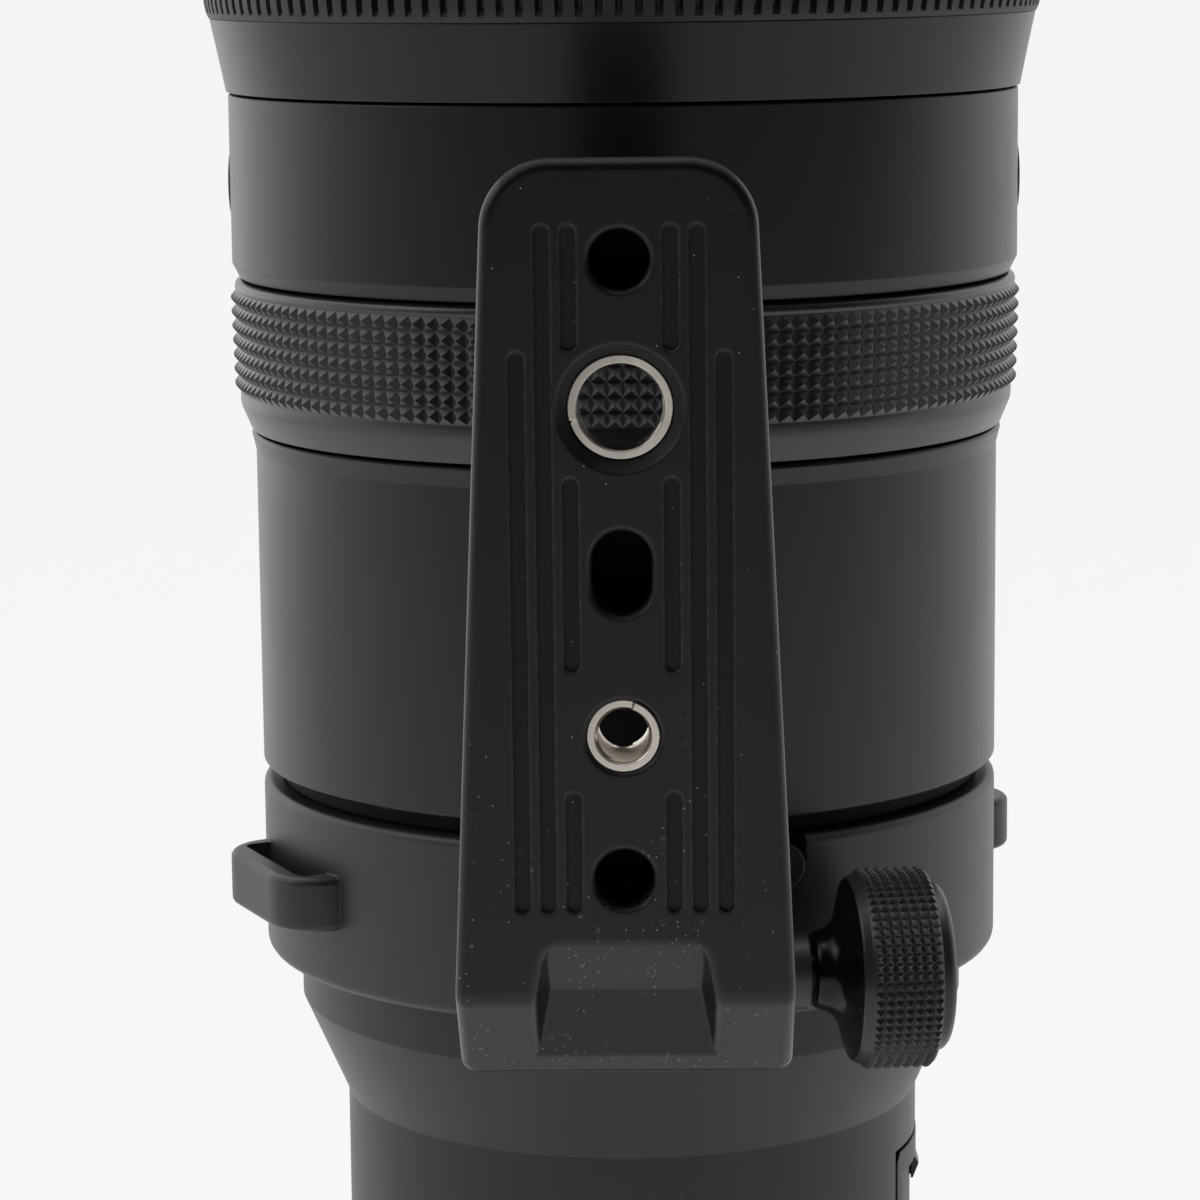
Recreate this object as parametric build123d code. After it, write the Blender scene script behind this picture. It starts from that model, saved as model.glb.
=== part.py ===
from build123d import *
import os
from math import cos, degrees, pi, radians, sin, sqrt

# Long internal-zoom lens with a rotating tripod collar, in millimetres.
# Z is the optical axis with +Z to the front, z = 0 is the seat of the lens mount,
# and the tripod foot stands towards -Y. Azimuths count from -Y towards +X.

# Lengths of the outer sections along the axis, from the mount to the front
flange_proud = 1.2
cone_length = 13.2
neck_length = 6.4
collar_height = 22.7
collar_groove = 2.4
middle_barrel_length = 43.6
focus_ring_length = 19.4
front_sleeve_length = 23.4
zoom_ring_length = 62.4
front_barrel_length = 46.4
seam = 0.3

# Driving radii: the fixed tube that carries the rings, and the throat of the lens mount
tube_radius = 46.0
throat_radius = 24.5

# Walls and steps from those two radii to the outside of each section
track_step = 2.0
neck_step = 0.1
collar_wall = 4.1
middle_wall = 2.4
middle_lip = 0.5
middle_bevel = 2.5
focus_ring_wall = 5.0
sleeve_wall = 4.95
sleeve_bevel = 0.9
zoom_ring_wall = 4.9
grip_rise = 2.9
front_wall = 8.6
rear_rim = 2.9

# Walls and clearances shared by the whole lens
shell_wall = 1.8
run_gap = 0.3
seat_gap = 0.05
cut_over = 1.0
edge_chamfer = 0.4

# Lens mount
flange_width = 8.5
flange_thickness = 3.2
spigot_wall = 2.7
spigot_length = 5.6
tab_reach = 1.7
tab_thickness = 1.5
tab_angle = 46.0
tab_count = 3
gasket_width = 2.2
gasket_lip = 0.8
mount_screw_radius = 1.0
mount_screw_head = 1.9
mount_screw_length = 6.4
mount_screw_inset = 2.8
mount_screw_count = 4
contact_pin_radius = 0.75
contact_pin_pitch = 6.4
contact_pin_count = 11
contact_inset = 2.5
contact_block_width = 4.0
contact_block_depth = 6.5
baffle_side = 7.5
baffle_top = 11.5
baffle_thickness = 1.6
baffle_corner = 3.5

# Tripod collar, foot and clamp knob
collar_low_round = 1.4
round_steps = 4
collar_high_round = 1.0
lug_azimuth = -64.0
lug_height = 7.0
lug_reach = 5.3
lug_half_width = 12.8
lug_bar = 2.7
lug_corner = 6.5
lug_mid = 11.6
lug_edge = 0.9
foot_drop = 45.6
foot_thickness = 10.0
foot_half_front = 14.8
foot_half_rear = 19.5
foot_corner_front = 7.8
foot_corner_rear = 2.6
foot_edge = 1.3
foot_ridge = 2.8
foot_front_share = 0.5
foot_draft = 4.0
foot_slope_rise = 11.4
stem_left = 14.0
stem_right = 7.0
stem_corner = 11.0
stem_rear_gap = 2.0
base_height = 17.0
split_width = 1.2
ear_width = 8.5
ear_round = 7.2
knob_tilt = 7.6
knob_drop = 10.9
knob_shift = 2.1
knob_boss_start = 8.0
knob_boss_radius = 4.65
knob_boss_length = 5.6
knob_gap = 0.8
knob_radius = 12.15
knob_neck_length = 2.2
knob_neck_rise = 0.6
knob_flare_radius = 7.6
knob_flare_length = 3.2
knob_shoulder_radius = 10.9
knob_shoulder_length = 3.9
knob_band_length = 1.6
knob_grip_length = 8.2
knob_end_length = 1.9
knob_end_radius = 10.1
knob_end_bevel = 0.7
knob_teeth = 66
knob_rows = 7
knob_tooth_depth = 0.5
knob_dome = 1.1
knob_dome_share = 0.6
stud_radius = 2.5
stud_reach = 3.5
stop_pin_radius = 2.8
stop_pin_azimuth = 22.7
stop_pin_drop = 0.6
stop_pin_proud = 1.1
stop_notch_azimuth = 27.0

# Holes of the foot, measured from the middle of the hole row
hole_row_front_margin = 11.0
hole_row_rear_margin = 13.8
thread_offset = 18.0
pin_from_thread = 16.0
pin_hole_radius = 3.3
pin_hole_depth = 8.0
slot_hole_length = 9.4
hole_chamfer = 0.4
large_thread_radius = 4.0
large_insert_radius = 5.8
large_recess_radius = 7.1
large_recess_depth = 1.2
large_insert_length = 4.8
small_thread_radius = 2.6
small_insert_radius = 4.0
groove_width = 1.75
groove_depth = 0.5
groove_first = 5.5
groove_pitch = 2.85
groove_end_margin = 3.4

# Control rings
focus_rows = 7
focus_row_pitch = 1.85
focus_row_depth = 0.75
focus_lip = 1.5
rib_count = 144
rib_depth = 1.0
rib_shares = (0, 0.28, 0.53, 0.77)
grip_wall = 1.6
grip_border = 0.8
taper_length = 9.3
zoom_lip = 2.6
zoom_turn = 70.0

# Inner tubes, from the outside in
tube_wall = 1.8
cam_wall = 1.8
guide_wall = 1.5
follower_radius = 1.6
follower_count = 3
key_radius = 2.0
slot_clear = 0.35

# Travels of the inner groups
variator_travel = 26.0
compensator_travel = 20.0
shift_travel = 1.2

# Buttons and switches
button_azimuths = (0, 90, 180, 270)
button_radius = 4.4
button_proud = 0.1
button_dish = 0.3
button_shelf = 2.35
button_flange = 0.8
button_flange_radius = 5.4
button_stem = 1.1
button_dish_radius = 14.0
switch_azimuth = 90.0
panel_half_angle = 24.0
panel_from_rear = 19.3
panel_below_cone = 6.8
panel_rear_margin = 11.1
panel_front_margin = 6.9
panel_rise = 0.1
panel_corner = 1.0
panel_seam = 0.5
panel_recess = 0.7
panel_floor = 0.5
panel_border = 1.9
panel_border_front = 3.2
switch_length = 3.4
switch_width = 3.2
switch_head_width = 6.4
switch_travel = 3.0
switch_rise = 0.5
switch_lip = 0.3
switch_peak_share = 0.6
switch_pitch = 14.0
switch_count = 3

# Front of the lens
filter_step = 7.1
filter_depth = 5.0
front_glass_step = 2.5
hood_track_width = 2.4
hood_track_depth = 0.9
hood_slot_angle = 24.0
hood_slot_azimuth = 60.0
hood_slot_count = 3
hood_track_share = 0.72

# Stations along the axis that follow from the lengths above
panel_length = switch_pitch * (switch_count - 1) + panel_rear_margin + panel_front_margin
rear_end = flange_proud
panel_start = rear_end + panel_from_rear
cone_start = panel_start + panel_length + panel_below_cone
neck_start = cone_start + cone_length
neck_end = neck_start + neck_length
collar_start = neck_end + seam
collar_end = collar_start + collar_height
collar_mid = (collar_start + collar_end) / 2
middle_start = collar_end + collar_groove
middle_end = middle_start + middle_barrel_length
focus_start = middle_end + seam
focus_end = focus_start + focus_ring_length
sleeve_start = focus_end + seam
sleeve_end = sleeve_start + front_sleeve_length
zoom_start = sleeve_end + seam
zoom_end = zoom_start + zoom_ring_length
front_start = zoom_end + seam
front_end = front_start + front_barrel_length

# Radii that follow from the walls and clearances above
track_radius = tube_radius - track_step
neck_radius = track_radius - neck_step
collar_bore = track_radius + run_gap
collar_radius = collar_bore + collar_wall
middle_radius = tube_radius + middle_wall
middle_lip_radius = middle_radius + middle_lip
ring_bore = tube_radius + run_gap
focus_crest_radius = ring_bore + focus_ring_wall
sleeve_radius = tube_radius + sleeve_wall
zoom_base_radius = ring_bore + zoom_ring_wall
zoom_crest_radius = zoom_base_radius + grip_rise
front_radius = tube_radius + front_wall
spigot_radius = throat_radius + spigot_wall
tab_radius = spigot_radius + tab_reach
flange_radius = throat_radius + flange_width
mount_screw_circle = flange_radius - mount_screw_inset
contact_circle = throat_radius - contact_inset
gasket_radius = flange_radius + gasket_width
rear_radius = gasket_radius + rear_rim
rear_bore = rear_radius - shell_wall
panel_floor_radius = rear_radius - panel_recess
panel_seat_radius = panel_floor_radius - panel_floor
tube_bore = tube_radius - tube_wall
cam_outer = tube_bore - run_gap
cam_inner = cam_outer - cam_wall
guide_outer = cam_inner - run_gap
guide_inner = guide_outer - guide_wall
cell_radius = guide_inner - run_gap
spigot_inner = track_radius - 2 * shell_wall

# Foot details
foot_screw_x = -7.0
foot_screw_spread = 5.0
foot_screw_radius = 2.0
foot_screw_head = 3.4
foot_screw_length = 28.0
foot_rear_rise = 4.3
notch_top_half = 8.7
notch_step_half = 8.4
notch_low_half = 10.15
notch_rise = 6.6
notch_depth = 5.0
notch_low_share = 0.72
notch_overrun_share = 0.2
notch_edge = 1.3
groove_break_far = 6.2

# Rear group and board inside the rear barrel
rear_cell_margin = 9.8
rear_cell_wall = 3.5
rear_cell_length = 44.0
floor_lip = 1.0
rear_glass_edge = 4.0
rear_glass_sag = 3.0
rear_glass_below_end = 8.0
board_rise = 12.0
board_thickness = 1.6
board_chip = 6.0
board_chip_azimuths = (40, 130, 220, 310)

# Stabiliser and iris inside the collar
shift_base_rise = 1.0
shift_base_height = 15.0
shift_margin = 6.4
shift_rim = 8.0
shift_lip = 4.0
shift_cell_length = 8.0
iris_height = 7.0
iris_wall = 2.4
iris_ring_width = 8.0
iris_blade_reach = 6.0
iris_blade_count = 9
iris_blade_thickness = 0.4
iris_blade_gap = 1.0

# Focus drive inside the middle barrel
focus_plate = 3.0
focus_room = 36.0
rod_azimuths = (60, 240)
rod_inset = 7.2
rod_to_opening = 8.0
rod_radius = 1.5
rod_clear = 0.08
ear_half = 3.4
motor_azimuth = 150
motor_radius = 5.2
motor_length = 10.0
screw_radius = 1.2
nut_length = 3.0
focus_cell_rise = 2.0
focus_cell_length = 14.0
focus_cell_clear = 1.0
focus_cell_wall = 4.0

# Zoom drive inside the zoom ring
guide_flange = 3.0
variator_rise = 18.0
variator_azimuth = 30.0
variator_length = 14.0
variator_rim = 10.0
variator_edge = 6.0
variator_bulges = (3.0, 2.0)
compensator_rise = 37.6
compensator_azimuth = 90.0
compensator_length = 12.0
compensator_rim = 13.0
compensator_edge = 5.0
compensator_bulges = (2.0, 3.0)
key_from_end = 12.0
key_azimuth = 90.0
key_depth = 2.0

# Front group
front_overlap = 6.0
filter_ring_wall = 2.4
filter_ring_foot = 7.0
front_cell_wall = 2.0
front_edge = 5.0
front_sag = 5.0
front_land = 3.6

# Radii inside the lens that follow from the sizes above
rear_cell_tube = rear_bore - rear_cell_margin
rear_glass_radius = rear_cell_tube - rear_cell_wall
floor_opening = rear_glass_radius - floor_lip
shift_frame_radius = spigot_inner - shift_margin
shift_glass_radius = shift_frame_radius - shift_rim
shift_opening = shift_glass_radius - shift_lip
iris_ring_outer = spigot_inner - iris_wall
iris_ring_inner = iris_ring_outer - iris_ring_width
iris_opening = iris_ring_inner - iris_blade_reach
rod_circle = tube_bore - rod_inset
focus_opening = rod_circle - rod_to_opening
focus_cell_outer = focus_opening - focus_cell_clear
focus_glass_radius = focus_cell_outer - focus_cell_wall
variator_glass_radius = cell_radius - variator_rim
compensator_glass_radius = cell_radius - compensator_rim
filter_radius = front_radius - filter_step
front_glass_radius = filter_radius - front_glass_step

# Places inside the lens that follow from the sizes above
floor_low = flange_thickness + baffle_thickness
floor_top = floor_low + shell_wall
shift_base_low = neck_start + shift_base_rise
iris_low = shift_base_low + shift_base_height
iris_high = iris_low + iris_height
focus_base_low = middle_start + tube_wall
focus_base_high = focus_base_low + focus_plate
bulkhead_low = focus_base_high + focus_room
bulkhead_high = bulkhead_low + focus_plate
focus_cell_low = focus_base_high + focus_cell_rise
cam_start = bulkhead_high + run_gap
cam_end = front_start - guide_flange - run_gap
compensator_height = cam_start + compensator_rise
variator_height = compensator_height + variator_rise
key_height = zoom_end - key_from_end
button_height = (sleeve_start + sleeve_end) / 2
filter_ring_outer = filter_radius + filter_ring_wall
filter_seat = front_end - filter_depth - filter_ring_foot
front_cell_low = front_start + front_overlap
front_cell_outer = front_glass_radius + front_cell_wall

# Places on the foot that follow from the sizes above
base_seat = collar_radius + base_height
knob_offset = collar_radius + knob_drop
foot_screw_seat = collar_bore + shell_wall / 2
foot_face = collar_radius + foot_drop
foot_back = foot_face - foot_thickness
foot_rear = collar_start + foot_rear_rise
foot_slope_top = foot_rear + foot_slope_rise
pin_hole_offset = thread_offset + pin_from_thread
hole_row_height = foot_slope_top + hole_row_rear_margin + pin_hole_offset
foot_front = hole_row_height + pin_hole_offset + hole_row_front_margin

# Groups that the cam moves: rest height, travel and azimuth of the first follower
cam_groups = [
    (variator_height, variator_travel, variator_azimuth),
    (compensator_height, -compensator_travel, compensator_azimuth),
]

from_base = (Align.CENTER, Align.CENTER, Align.MIN)
parts = {}


def turned(*outline):
    """Solid of revolution about the optical axis from (radius, height) points."""
    return revolve(Plane.XZ * make_face(Polyline(*outline, close=True)), Axis.Z)


def tube(outer, inner, low, high):
    """Plain ring or tube between two heights."""
    return turned((inner, low), (outer, low), (outer, high), (inner, high))


def disc(radius, low, high):
    """Plain round plate between two heights."""
    return Pos(0, 0, low) * Cylinder(radius, high - low, align=from_base)


def around(azimuth, thing):
    """The thing, made at the foot's side, turned to another azimuth."""
    return Rot(0, 0, azimuth) * thing


def spoke(radius, start, end, azimuth, height):
    """Round pin that points away from the axis, between two distances from it."""
    pin = Cylinder(radius, end - start, align=from_base)
    return around(azimuth, Pos(0, -start, height) * Rot(90, 0, 0) * pin)


def block(x_low, x_high, y_low, y_high, z_low, z_high):
    """Box between corners."""
    low_corner = (Align.MIN, Align.MIN, Align.MIN)
    size = (x_high - x_low, y_high - y_low, z_high - z_low)
    return Pos(x_low, y_low, z_low) * Box(*size, align=low_corner)


def glass(radius, land, rear, edge, rear_bulge, front_bulge):
    """Lens element whose rim has a flat land on both sides and whose faces bulge inside the lands."""
    front = rear + edge
    lens = radius - land
    outline = [
        Line((0, rear - rear_bulge), (0, front + front_bulge)),
        ThreePointArc((0, front + front_bulge), *arc_points(lens, front, front_bulge)),
        Polyline((lens, front), (radius, front), (radius, rear), (lens, rear)),
        ThreePointArc((0, rear - rear_bulge), *arc_points(lens, rear, -rear_bulge)),
    ]
    return revolve(Plane.XZ * make_face(outline), Axis.Z)


def arc_points(radius, rim, bulge):
    """Half-way point and rim point of a lens face whose middle stands bulge above its rim."""
    curve = (radius**2 + bulge**2) / (2 * abs(bulge))
    half = radius / 2
    drop = curve - sqrt(curve**2 - half**2)
    side = 1 if bulge > 0 else -1
    return (half, rim + bulge - side * drop), (radius, rim)


def sector(outer, inner, low, high, start, span):
    """Part of a tube that covers an azimuth range."""
    return swung(start, span, (inner, low), (outer, low), (outer, high), (inner, high))


def swung(start, span, *outline):
    """Outline of (radius, height) points swung through an azimuth range."""
    face = Plane.XZ * make_face(Polyline(*outline, close=True))
    return around(start - 90, revolve(face, Axis.Z, span))


def keep(name, shape):
    """File a finished piece under its node name."""
    parts[name] = shape


# Lens mount


def mount_screw_places():
    return [360 / mount_screw_count * (n + 0.5) for n in range(mount_screw_count)]


def make_mount():
    flange = tube(flange_radius, throat_radius, 0, flange_thickness)
    spigot = tube(spigot_radius, throat_radius, -spigot_length, 0)
    body = flange + spigot
    tab_high = tab_thickness - spigot_length
    for n in range(tab_count):
        start = 360 / tab_count * n - tab_angle / 2
        body += sector(tab_radius, throat_radius, -spigot_length, tab_high, start, tab_angle)
    screws = []
    for azimuth in mount_screw_places():
        cone = Cone(mount_screw_head, mount_screw_radius, mount_screw_head, align=from_base)
        head = Pos(0, 0, seat_gap) * cone
        shank = Pos(0, 0, mount_screw_head + seat_gap) * Cylinder(
            mount_screw_radius, mount_screw_length - mount_screw_head, align=from_base
        )
        place = Rot(0, 0, azimuth) * Pos(0, -mount_screw_circle, 0)
        hole_radius = mount_screw_radius + seat_gap
        hole = Cone(mount_screw_head + seat_gap, hole_radius, mount_screw_head, align=from_base)
        through = Cylinder(hole_radius, flange_thickness, align=from_base)
        body -= place * (hole + through)
        screws.append(place * (head + shank))
    keep("mount_flange", body)
    keep("mount_screws", Compound(screws))


def make_gasket():
    lip = turned(
        (flange_radius + seat_gap, flange_proud - gasket_lip),
        (gasket_radius - gasket_lip, flange_proud - gasket_lip),
        (gasket_radius, flange_proud),
        (gasket_radius, flange_thickness),
        (flange_radius + seat_gap, flange_thickness),
    )
    keep("mount_gasket", lip)


def make_contacts():
    inner = throat_radius - seat_gap
    outer_span = degrees(contact_pin_pitch / contact_circle) * 0.5 * (contact_pin_count + 1)
    start = 180 - outer_span / 2
    low = -spigot_length + tab_thickness / 2
    housing = sector(inner, contact_circle - contact_block_width / 2, low, low + contact_block_depth,
                     start, outer_span)
    pins = []
    for n in range(contact_pin_count):
        azimuth = start + outer_span * (n + 1) / (contact_pin_count + 1)
        pin = Cylinder(contact_pin_radius, contact_block_width / 2, align=from_base)
        pin_circle = contact_circle + contact_pin_radius / 2
        place = Rot(0, 0, azimuth) * Pos(0, -pin_circle, low - contact_pin_radius)
        pins.append(place * pin)
        socket = Cylinder(contact_pin_radius, contact_block_width / 2, align=from_base)
        housing -= place * socket
    keep("contact_block", housing)
    keep("contact_pins", Compound(pins))


def make_baffle():
    low = flange_thickness
    plate = disc(flange_radius - seat_gap, low, low + baffle_thickness)
    window_size = (2 * (throat_radius - baffle_side), 2 * (throat_radius - baffle_top))
    plate -= Pos(0, 0, low) * extrude(RectangleRounded(*window_size, baffle_corner), baffle_thickness)
    for azimuth in mount_screw_places():
        place = Rot(0, 0, azimuth) * Pos(0, -mount_screw_circle, low)
        plate -= place * Cylinder(mount_screw_radius + seat_gap, baffle_thickness, align=from_base)
    keep("rear_baffle", plate)


# Rear barrel with its switch panel


def switch_heights():
    return [panel_start + panel_rear_margin + switch_pitch * n for n in range(switch_count)]


def switch_slots():
    """Slots that the stems of the three switches slide in, through panel and barrel."""
    half = degrees((switch_width / 2 + run_gap) / rear_radius)
    reach = (switch_length + switch_travel) / 2 + run_gap
    return [wrapped(height - reach, height + reach, rear_bore - cut_over, rear_radius + cut_over,
                    half, switch_azimuth) for height in switch_heights()]


def wrapped(height_low, height_high, inner, outer, half_span, azimuth):
    """Curved plate that follows the barrel round an azimuth."""
    return sector(outer, inner, height_low, height_high, azimuth - half_span, 2 * half_span)


def make_rear_barrel():
    inner_cone = neck_radius - shell_wall
    shell = turned(
        (gasket_radius + seat_gap, rear_end),
        (rear_radius - edge_chamfer, rear_end),
        (rear_radius, rear_end + edge_chamfer),
        (rear_radius, cone_start),
        (neck_radius, neck_start),
        (neck_radius, neck_end),
        (inner_cone, neck_end),
        (inner_cone, neck_start),
        (rear_bore, cone_start),
        (rear_bore, floor_top),
        (floor_opening, floor_top),
        (floor_opening, floor_low),
        (gasket_radius + seat_gap, floor_low),
    )
    for azimuth in mount_screw_places():
        place = Rot(0, 0, azimuth) * Pos(0, -mount_screw_circle, floor_low)
        shell -= place * Cylinder(mount_screw_radius + seat_gap, mount_screw_length, align=from_base)
    pocket_half = panel_half_angle + degrees(panel_seam / rear_radius)
    shell -= wrapped(panel_start - panel_seam, panel_start + panel_length + panel_seam,
                     panel_seat_radius, rear_radius + cut_over, pocket_half, switch_azimuth)
    for slot in switch_slots():
        shell -= slot
    keep("rear_barrel", shell)


def make_switch_panel():
    low, high = panel_start, panel_start + panel_length
    outer = rear_radius + panel_rise
    plate = wrapped(low, high, panel_seat_radius + seat_gap, outer, panel_half_angle, switch_azimuth)
    for side in (-1, 1):
        for end in (low, high):
            place = around(switch_azimuth + side * panel_half_angle, Pos(0, -outer, end))
            side_length = panel_corner * sqrt(2)
            plate -= place * Rot(0, 45, 0) * Box(side_length, 4 * (panel_recess + panel_floor), side_length)
    plate -= wrapped(low + panel_border, high - panel_border_front, panel_floor_radius, outer + cut_over,
                     panel_half_angle - degrees(panel_border / rear_radius), switch_azimuth)
    for slot in switch_slots():
        plate -= slot
    keep("switch_panel", plate)


def make_switches():
    half = degrees(switch_width / 2 / rear_radius)
    head_half = degrees(switch_head_width / 2 / rear_radius)
    plate_half = half + degrees(2 * run_gap / rear_radius)
    head_base = panel_floor_radius + run_gap / 2
    head_edge, head_peak = head_base + switch_lip, rear_radius + switch_rise
    reach = (switch_length + switch_travel) / 2 + run_gap
    plate_top = rear_bore - run_gap
    for number, height in enumerate(switch_heights(), 1):
        high = height + (switch_travel + switch_length) / 2
        low = high - switch_length
        peak = low + switch_length * switch_peak_share
        slider = swung(switch_azimuth - head_half, 2 * head_half, (head_base, low), (head_edge, low),
                       (head_peak, peak), (head_edge, high), (head_base, high))
        slider += wrapped(low, high, plate_top, head_base, half, switch_azimuth)
        slider += wrapped(height - reach - run_gap, height + reach + switch_travel + run_gap,
                          plate_top - shell_wall / 2, plate_top, plate_half, switch_azimuth)
        keep(f"switch_{number}", slider)


def make_rear_group():
    low, high = floor_top, floor_top + rear_cell_length
    rear_glass_high = high - rear_glass_below_end
    lip = rear_glass_radius - shell_wall
    cell = turned(
        (rear_glass_radius + seat_gap, low),
        (rear_bore - seat_gap, low),
        (rear_bore - seat_gap, low + 2 * shell_wall),
        (rear_cell_tube, low + 2 * shell_wall),
        (rear_cell_tube, high),
        (rear_glass_radius + seat_gap, high),
        (rear_glass_radius + seat_gap, rear_glass_high),
        (lip, rear_glass_high),
        (lip, low + rear_glass_edge),
        (rear_glass_radius + seat_gap, low + rear_glass_edge),
    )
    keep("rear_group_cell", cell)
    keep("rear_element", glass(rear_glass_radius, shell_wall, rear_glass_high, rear_glass_edge,
                               rear_glass_sag, rear_glass_sag / 2))
    keep("rear_field_element", glass(rear_glass_radius, shell_wall, low, rear_glass_edge,
                                     rear_glass_sag / 2, rear_glass_sag))


def make_board():
    low = floor_top + board_rise
    board = tube(rear_bore - seat_gap, rear_cell_tube + seat_gap, low, low + board_thickness)
    chip_circle = (rear_bore + rear_cell_tube) / 2
    chip = Pos(0, -chip_circle, low + board_thickness) * Box(
        board_chip, board_chip, board_thickness, align=from_base
    )
    for azimuth in board_chip_azimuths:
        board += around(azimuth, chip)
    keep("main_board", board)


# Fixed tube that carries the rings, with its outer sleeves


def zoom_key_places():
    return [key_azimuth + 360 / follower_count * n for n in range(follower_count)]


def make_main_tube():
    body = turned(
        (spigot_inner, neck_start),
        (neck_radius - shell_wall - seat_gap, neck_start),
        (neck_radius - shell_wall - seat_gap, neck_end),
        (track_radius, neck_end),
        (track_radius, collar_end + run_gap),
        (tube_radius, collar_end + run_gap),
        (tube_radius, front_cell_low),
        (tube_bore, front_cell_low),
        (tube_bore, focus_base_low),
        (spigot_inner, focus_base_low),
    )
    slot_half = degrees((key_radius + slot_clear) / tube_radius)
    reach = key_radius + slot_clear
    for azimuth in zoom_key_places():
        body -= sector(tube_radius + cut_over, tube_bore - cut_over, key_height - reach, key_height + reach,
                       azimuth - slot_half, zoom_turn + 2 * slot_half)
    keep("main_tube", body)


def make_middle_barrel():
    body = turned(
        (tube_radius + seat_gap, middle_start),
        (middle_radius - edge_chamfer, middle_start),
        (middle_radius, middle_start + edge_chamfer),
        (middle_radius, middle_end - middle_bevel),
        (middle_lip_radius, middle_end - edge_chamfer),
        (middle_lip_radius - edge_chamfer, middle_end),
        (tube_radius + seat_gap, middle_end),
    )
    keep("middle_barrel", body)


def make_front_sleeve():
    body = turned(
        (tube_radius + seat_gap, sleeve_start),
        (sleeve_radius - sleeve_bevel, sleeve_start),
        (sleeve_radius, sleeve_start + 2 * sleeve_bevel),
        (sleeve_radius, sleeve_end - edge_chamfer / 2),
        (sleeve_radius - edge_chamfer / 2, sleeve_end),
        (tube_radius + seat_gap, sleeve_end),
    )
    for azimuth in button_azimuths:
        hole = disc(button_radius + run_gap, -cut_over, sleeve_radius)
        pocket = disc(button_flange_radius + run_gap, button_shelf, sleeve_radius)
        body -= around(azimuth, button_seat() * (hole + pocket))
    keep("front_sleeve", body)


def button_seat():
    """Place on the front sleeve, turned so that +Z goes into the lens."""
    return Pos(0, -sleeve_radius, button_height) * Rot(-90, 0, 0)


def make_buttons():
    flange_low = button_shelf + seat_gap
    flange_high = flange_low + button_flange
    cap = disc(button_radius, -button_proud, flange_low)
    cap = chamfer(cap.edges().group_by(Axis.Z)[0], edge_chamfer / 2)
    cap -= Pos(0, 0, button_dish - button_proud - button_dish_radius) * Sphere(button_dish_radius)
    flange = disc(button_flange_radius, flange_low, flange_high)
    stem = disc(button_radius / 3, flange_high, flange_high + button_stem)
    for number, azimuth in enumerate(button_azimuths, 1):
        keep(f"focus_button_{number}", around(azimuth, button_seat() * (cap + flange + stem)))


# Focus ring, zoom ring and what turns with them


def make_focus_ring():
    start, end = focus_start, focus_end
    rows_end = end - focus_lip
    rows_start = rows_end - focus_rows * focus_row_pitch
    root_radius = focus_crest_radius - focus_row_depth
    outline = [
        (ring_bore, start),
        (middle_lip_radius, start),
        (root_radius - edge_chamfer, rows_start - focus_lip),
        (root_radius - edge_chamfer, rows_start),
    ]
    for n in range(focus_rows):
        base = rows_start + n * focus_row_pitch
        outline += [(root_radius, base), (focus_crest_radius, base + focus_row_pitch / 2)]
    outline += [
        (root_radius, rows_end),
        (root_radius, end - edge_chamfer),
        (root_radius - 2 * edge_chamfer, end),
        (ring_bore, end),
    ]
    keep("focus_ring", turned(*outline))


def make_zoom_ring():
    grip_low = zoom_start + taper_length
    grip_seat = zoom_crest_radius - rib_depth - grip_wall
    lip_low = zoom_end - zoom_lip
    body = turned(
        (ring_bore, zoom_start),
        (zoom_base_radius, zoom_start),
        (zoom_crest_radius - rib_depth, grip_low),
        (grip_seat, grip_low),
        (grip_seat, lip_low),
        (zoom_crest_radius - edge_chamfer, lip_low),
        (zoom_crest_radius, lip_low + edge_chamfer),
        (zoom_crest_radius, zoom_end - edge_chamfer),
        (zoom_crest_radius - edge_chamfer, zoom_end),
        (ring_bore, zoom_end),
    )
    keys = []
    for azimuth in zoom_key_places():
        body -= spoke(key_radius, ring_bore - cut_over, ring_bore + key_depth, azimuth, key_height)
        keys.append(spoke(key_radius, cam_inner + seat_gap, ring_bore + key_depth, azimuth, key_height))
    keep("zoom_ring", body)
    keep("zoom_keys", Compound(keys))
    keep("zoom_grip", make_grip(grip_seat + seat_gap, grip_low, lip_low))


def make_grip(inner, low, high):
    """Rubber sleeve whose ribs run along the axis between two plain borders."""
    valley = zoom_crest_radius - rib_depth
    outline = []
    for n in range(rib_count):
        for share, radius in zip(rib_shares, (valley, zoom_crest_radius, zoom_crest_radius, valley)):
            angle = 2 * pi * (n + share) / rib_count
            outline.append((radius * cos(angle), radius * sin(angle)))
    ribbed = make_face(Polyline(*outline, close=True))
    ribs = Pos(0, 0, low + grip_border) * extrude(ribbed, high - low - 2 * grip_border)
    border = disc(valley + rib_depth / 2, low, high)
    return ribs + border - disc(inner, low - cut_over, high + cut_over)


def cam_slot(height, travel, azimuth):
    """Helical slot of the cam tube that moves a follower by the travel while the tube turns."""
    half = follower_radius + slot_clear
    low = min(height, height + travel) - half
    rise = abs(travel) + 2 * half
    spin = -zoom_turn / travel
    lead = radians(spin) * cam_outer
    section = Pos(0, -(cam_outer + cam_inner) / 2, 0) * Rectangle(
        2 * half * sqrt(1 + lead**2), cam_wall + 2 * cut_over
    )
    start = Vector(0, 0, 0)
    slot = Solid.extrude_linear_with_rotation(section.face(), start, Vector(0, 0, rise), spin * rise)
    return around(azimuth + spin * (low - height), Pos(0, 0, low) * slot)


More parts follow.
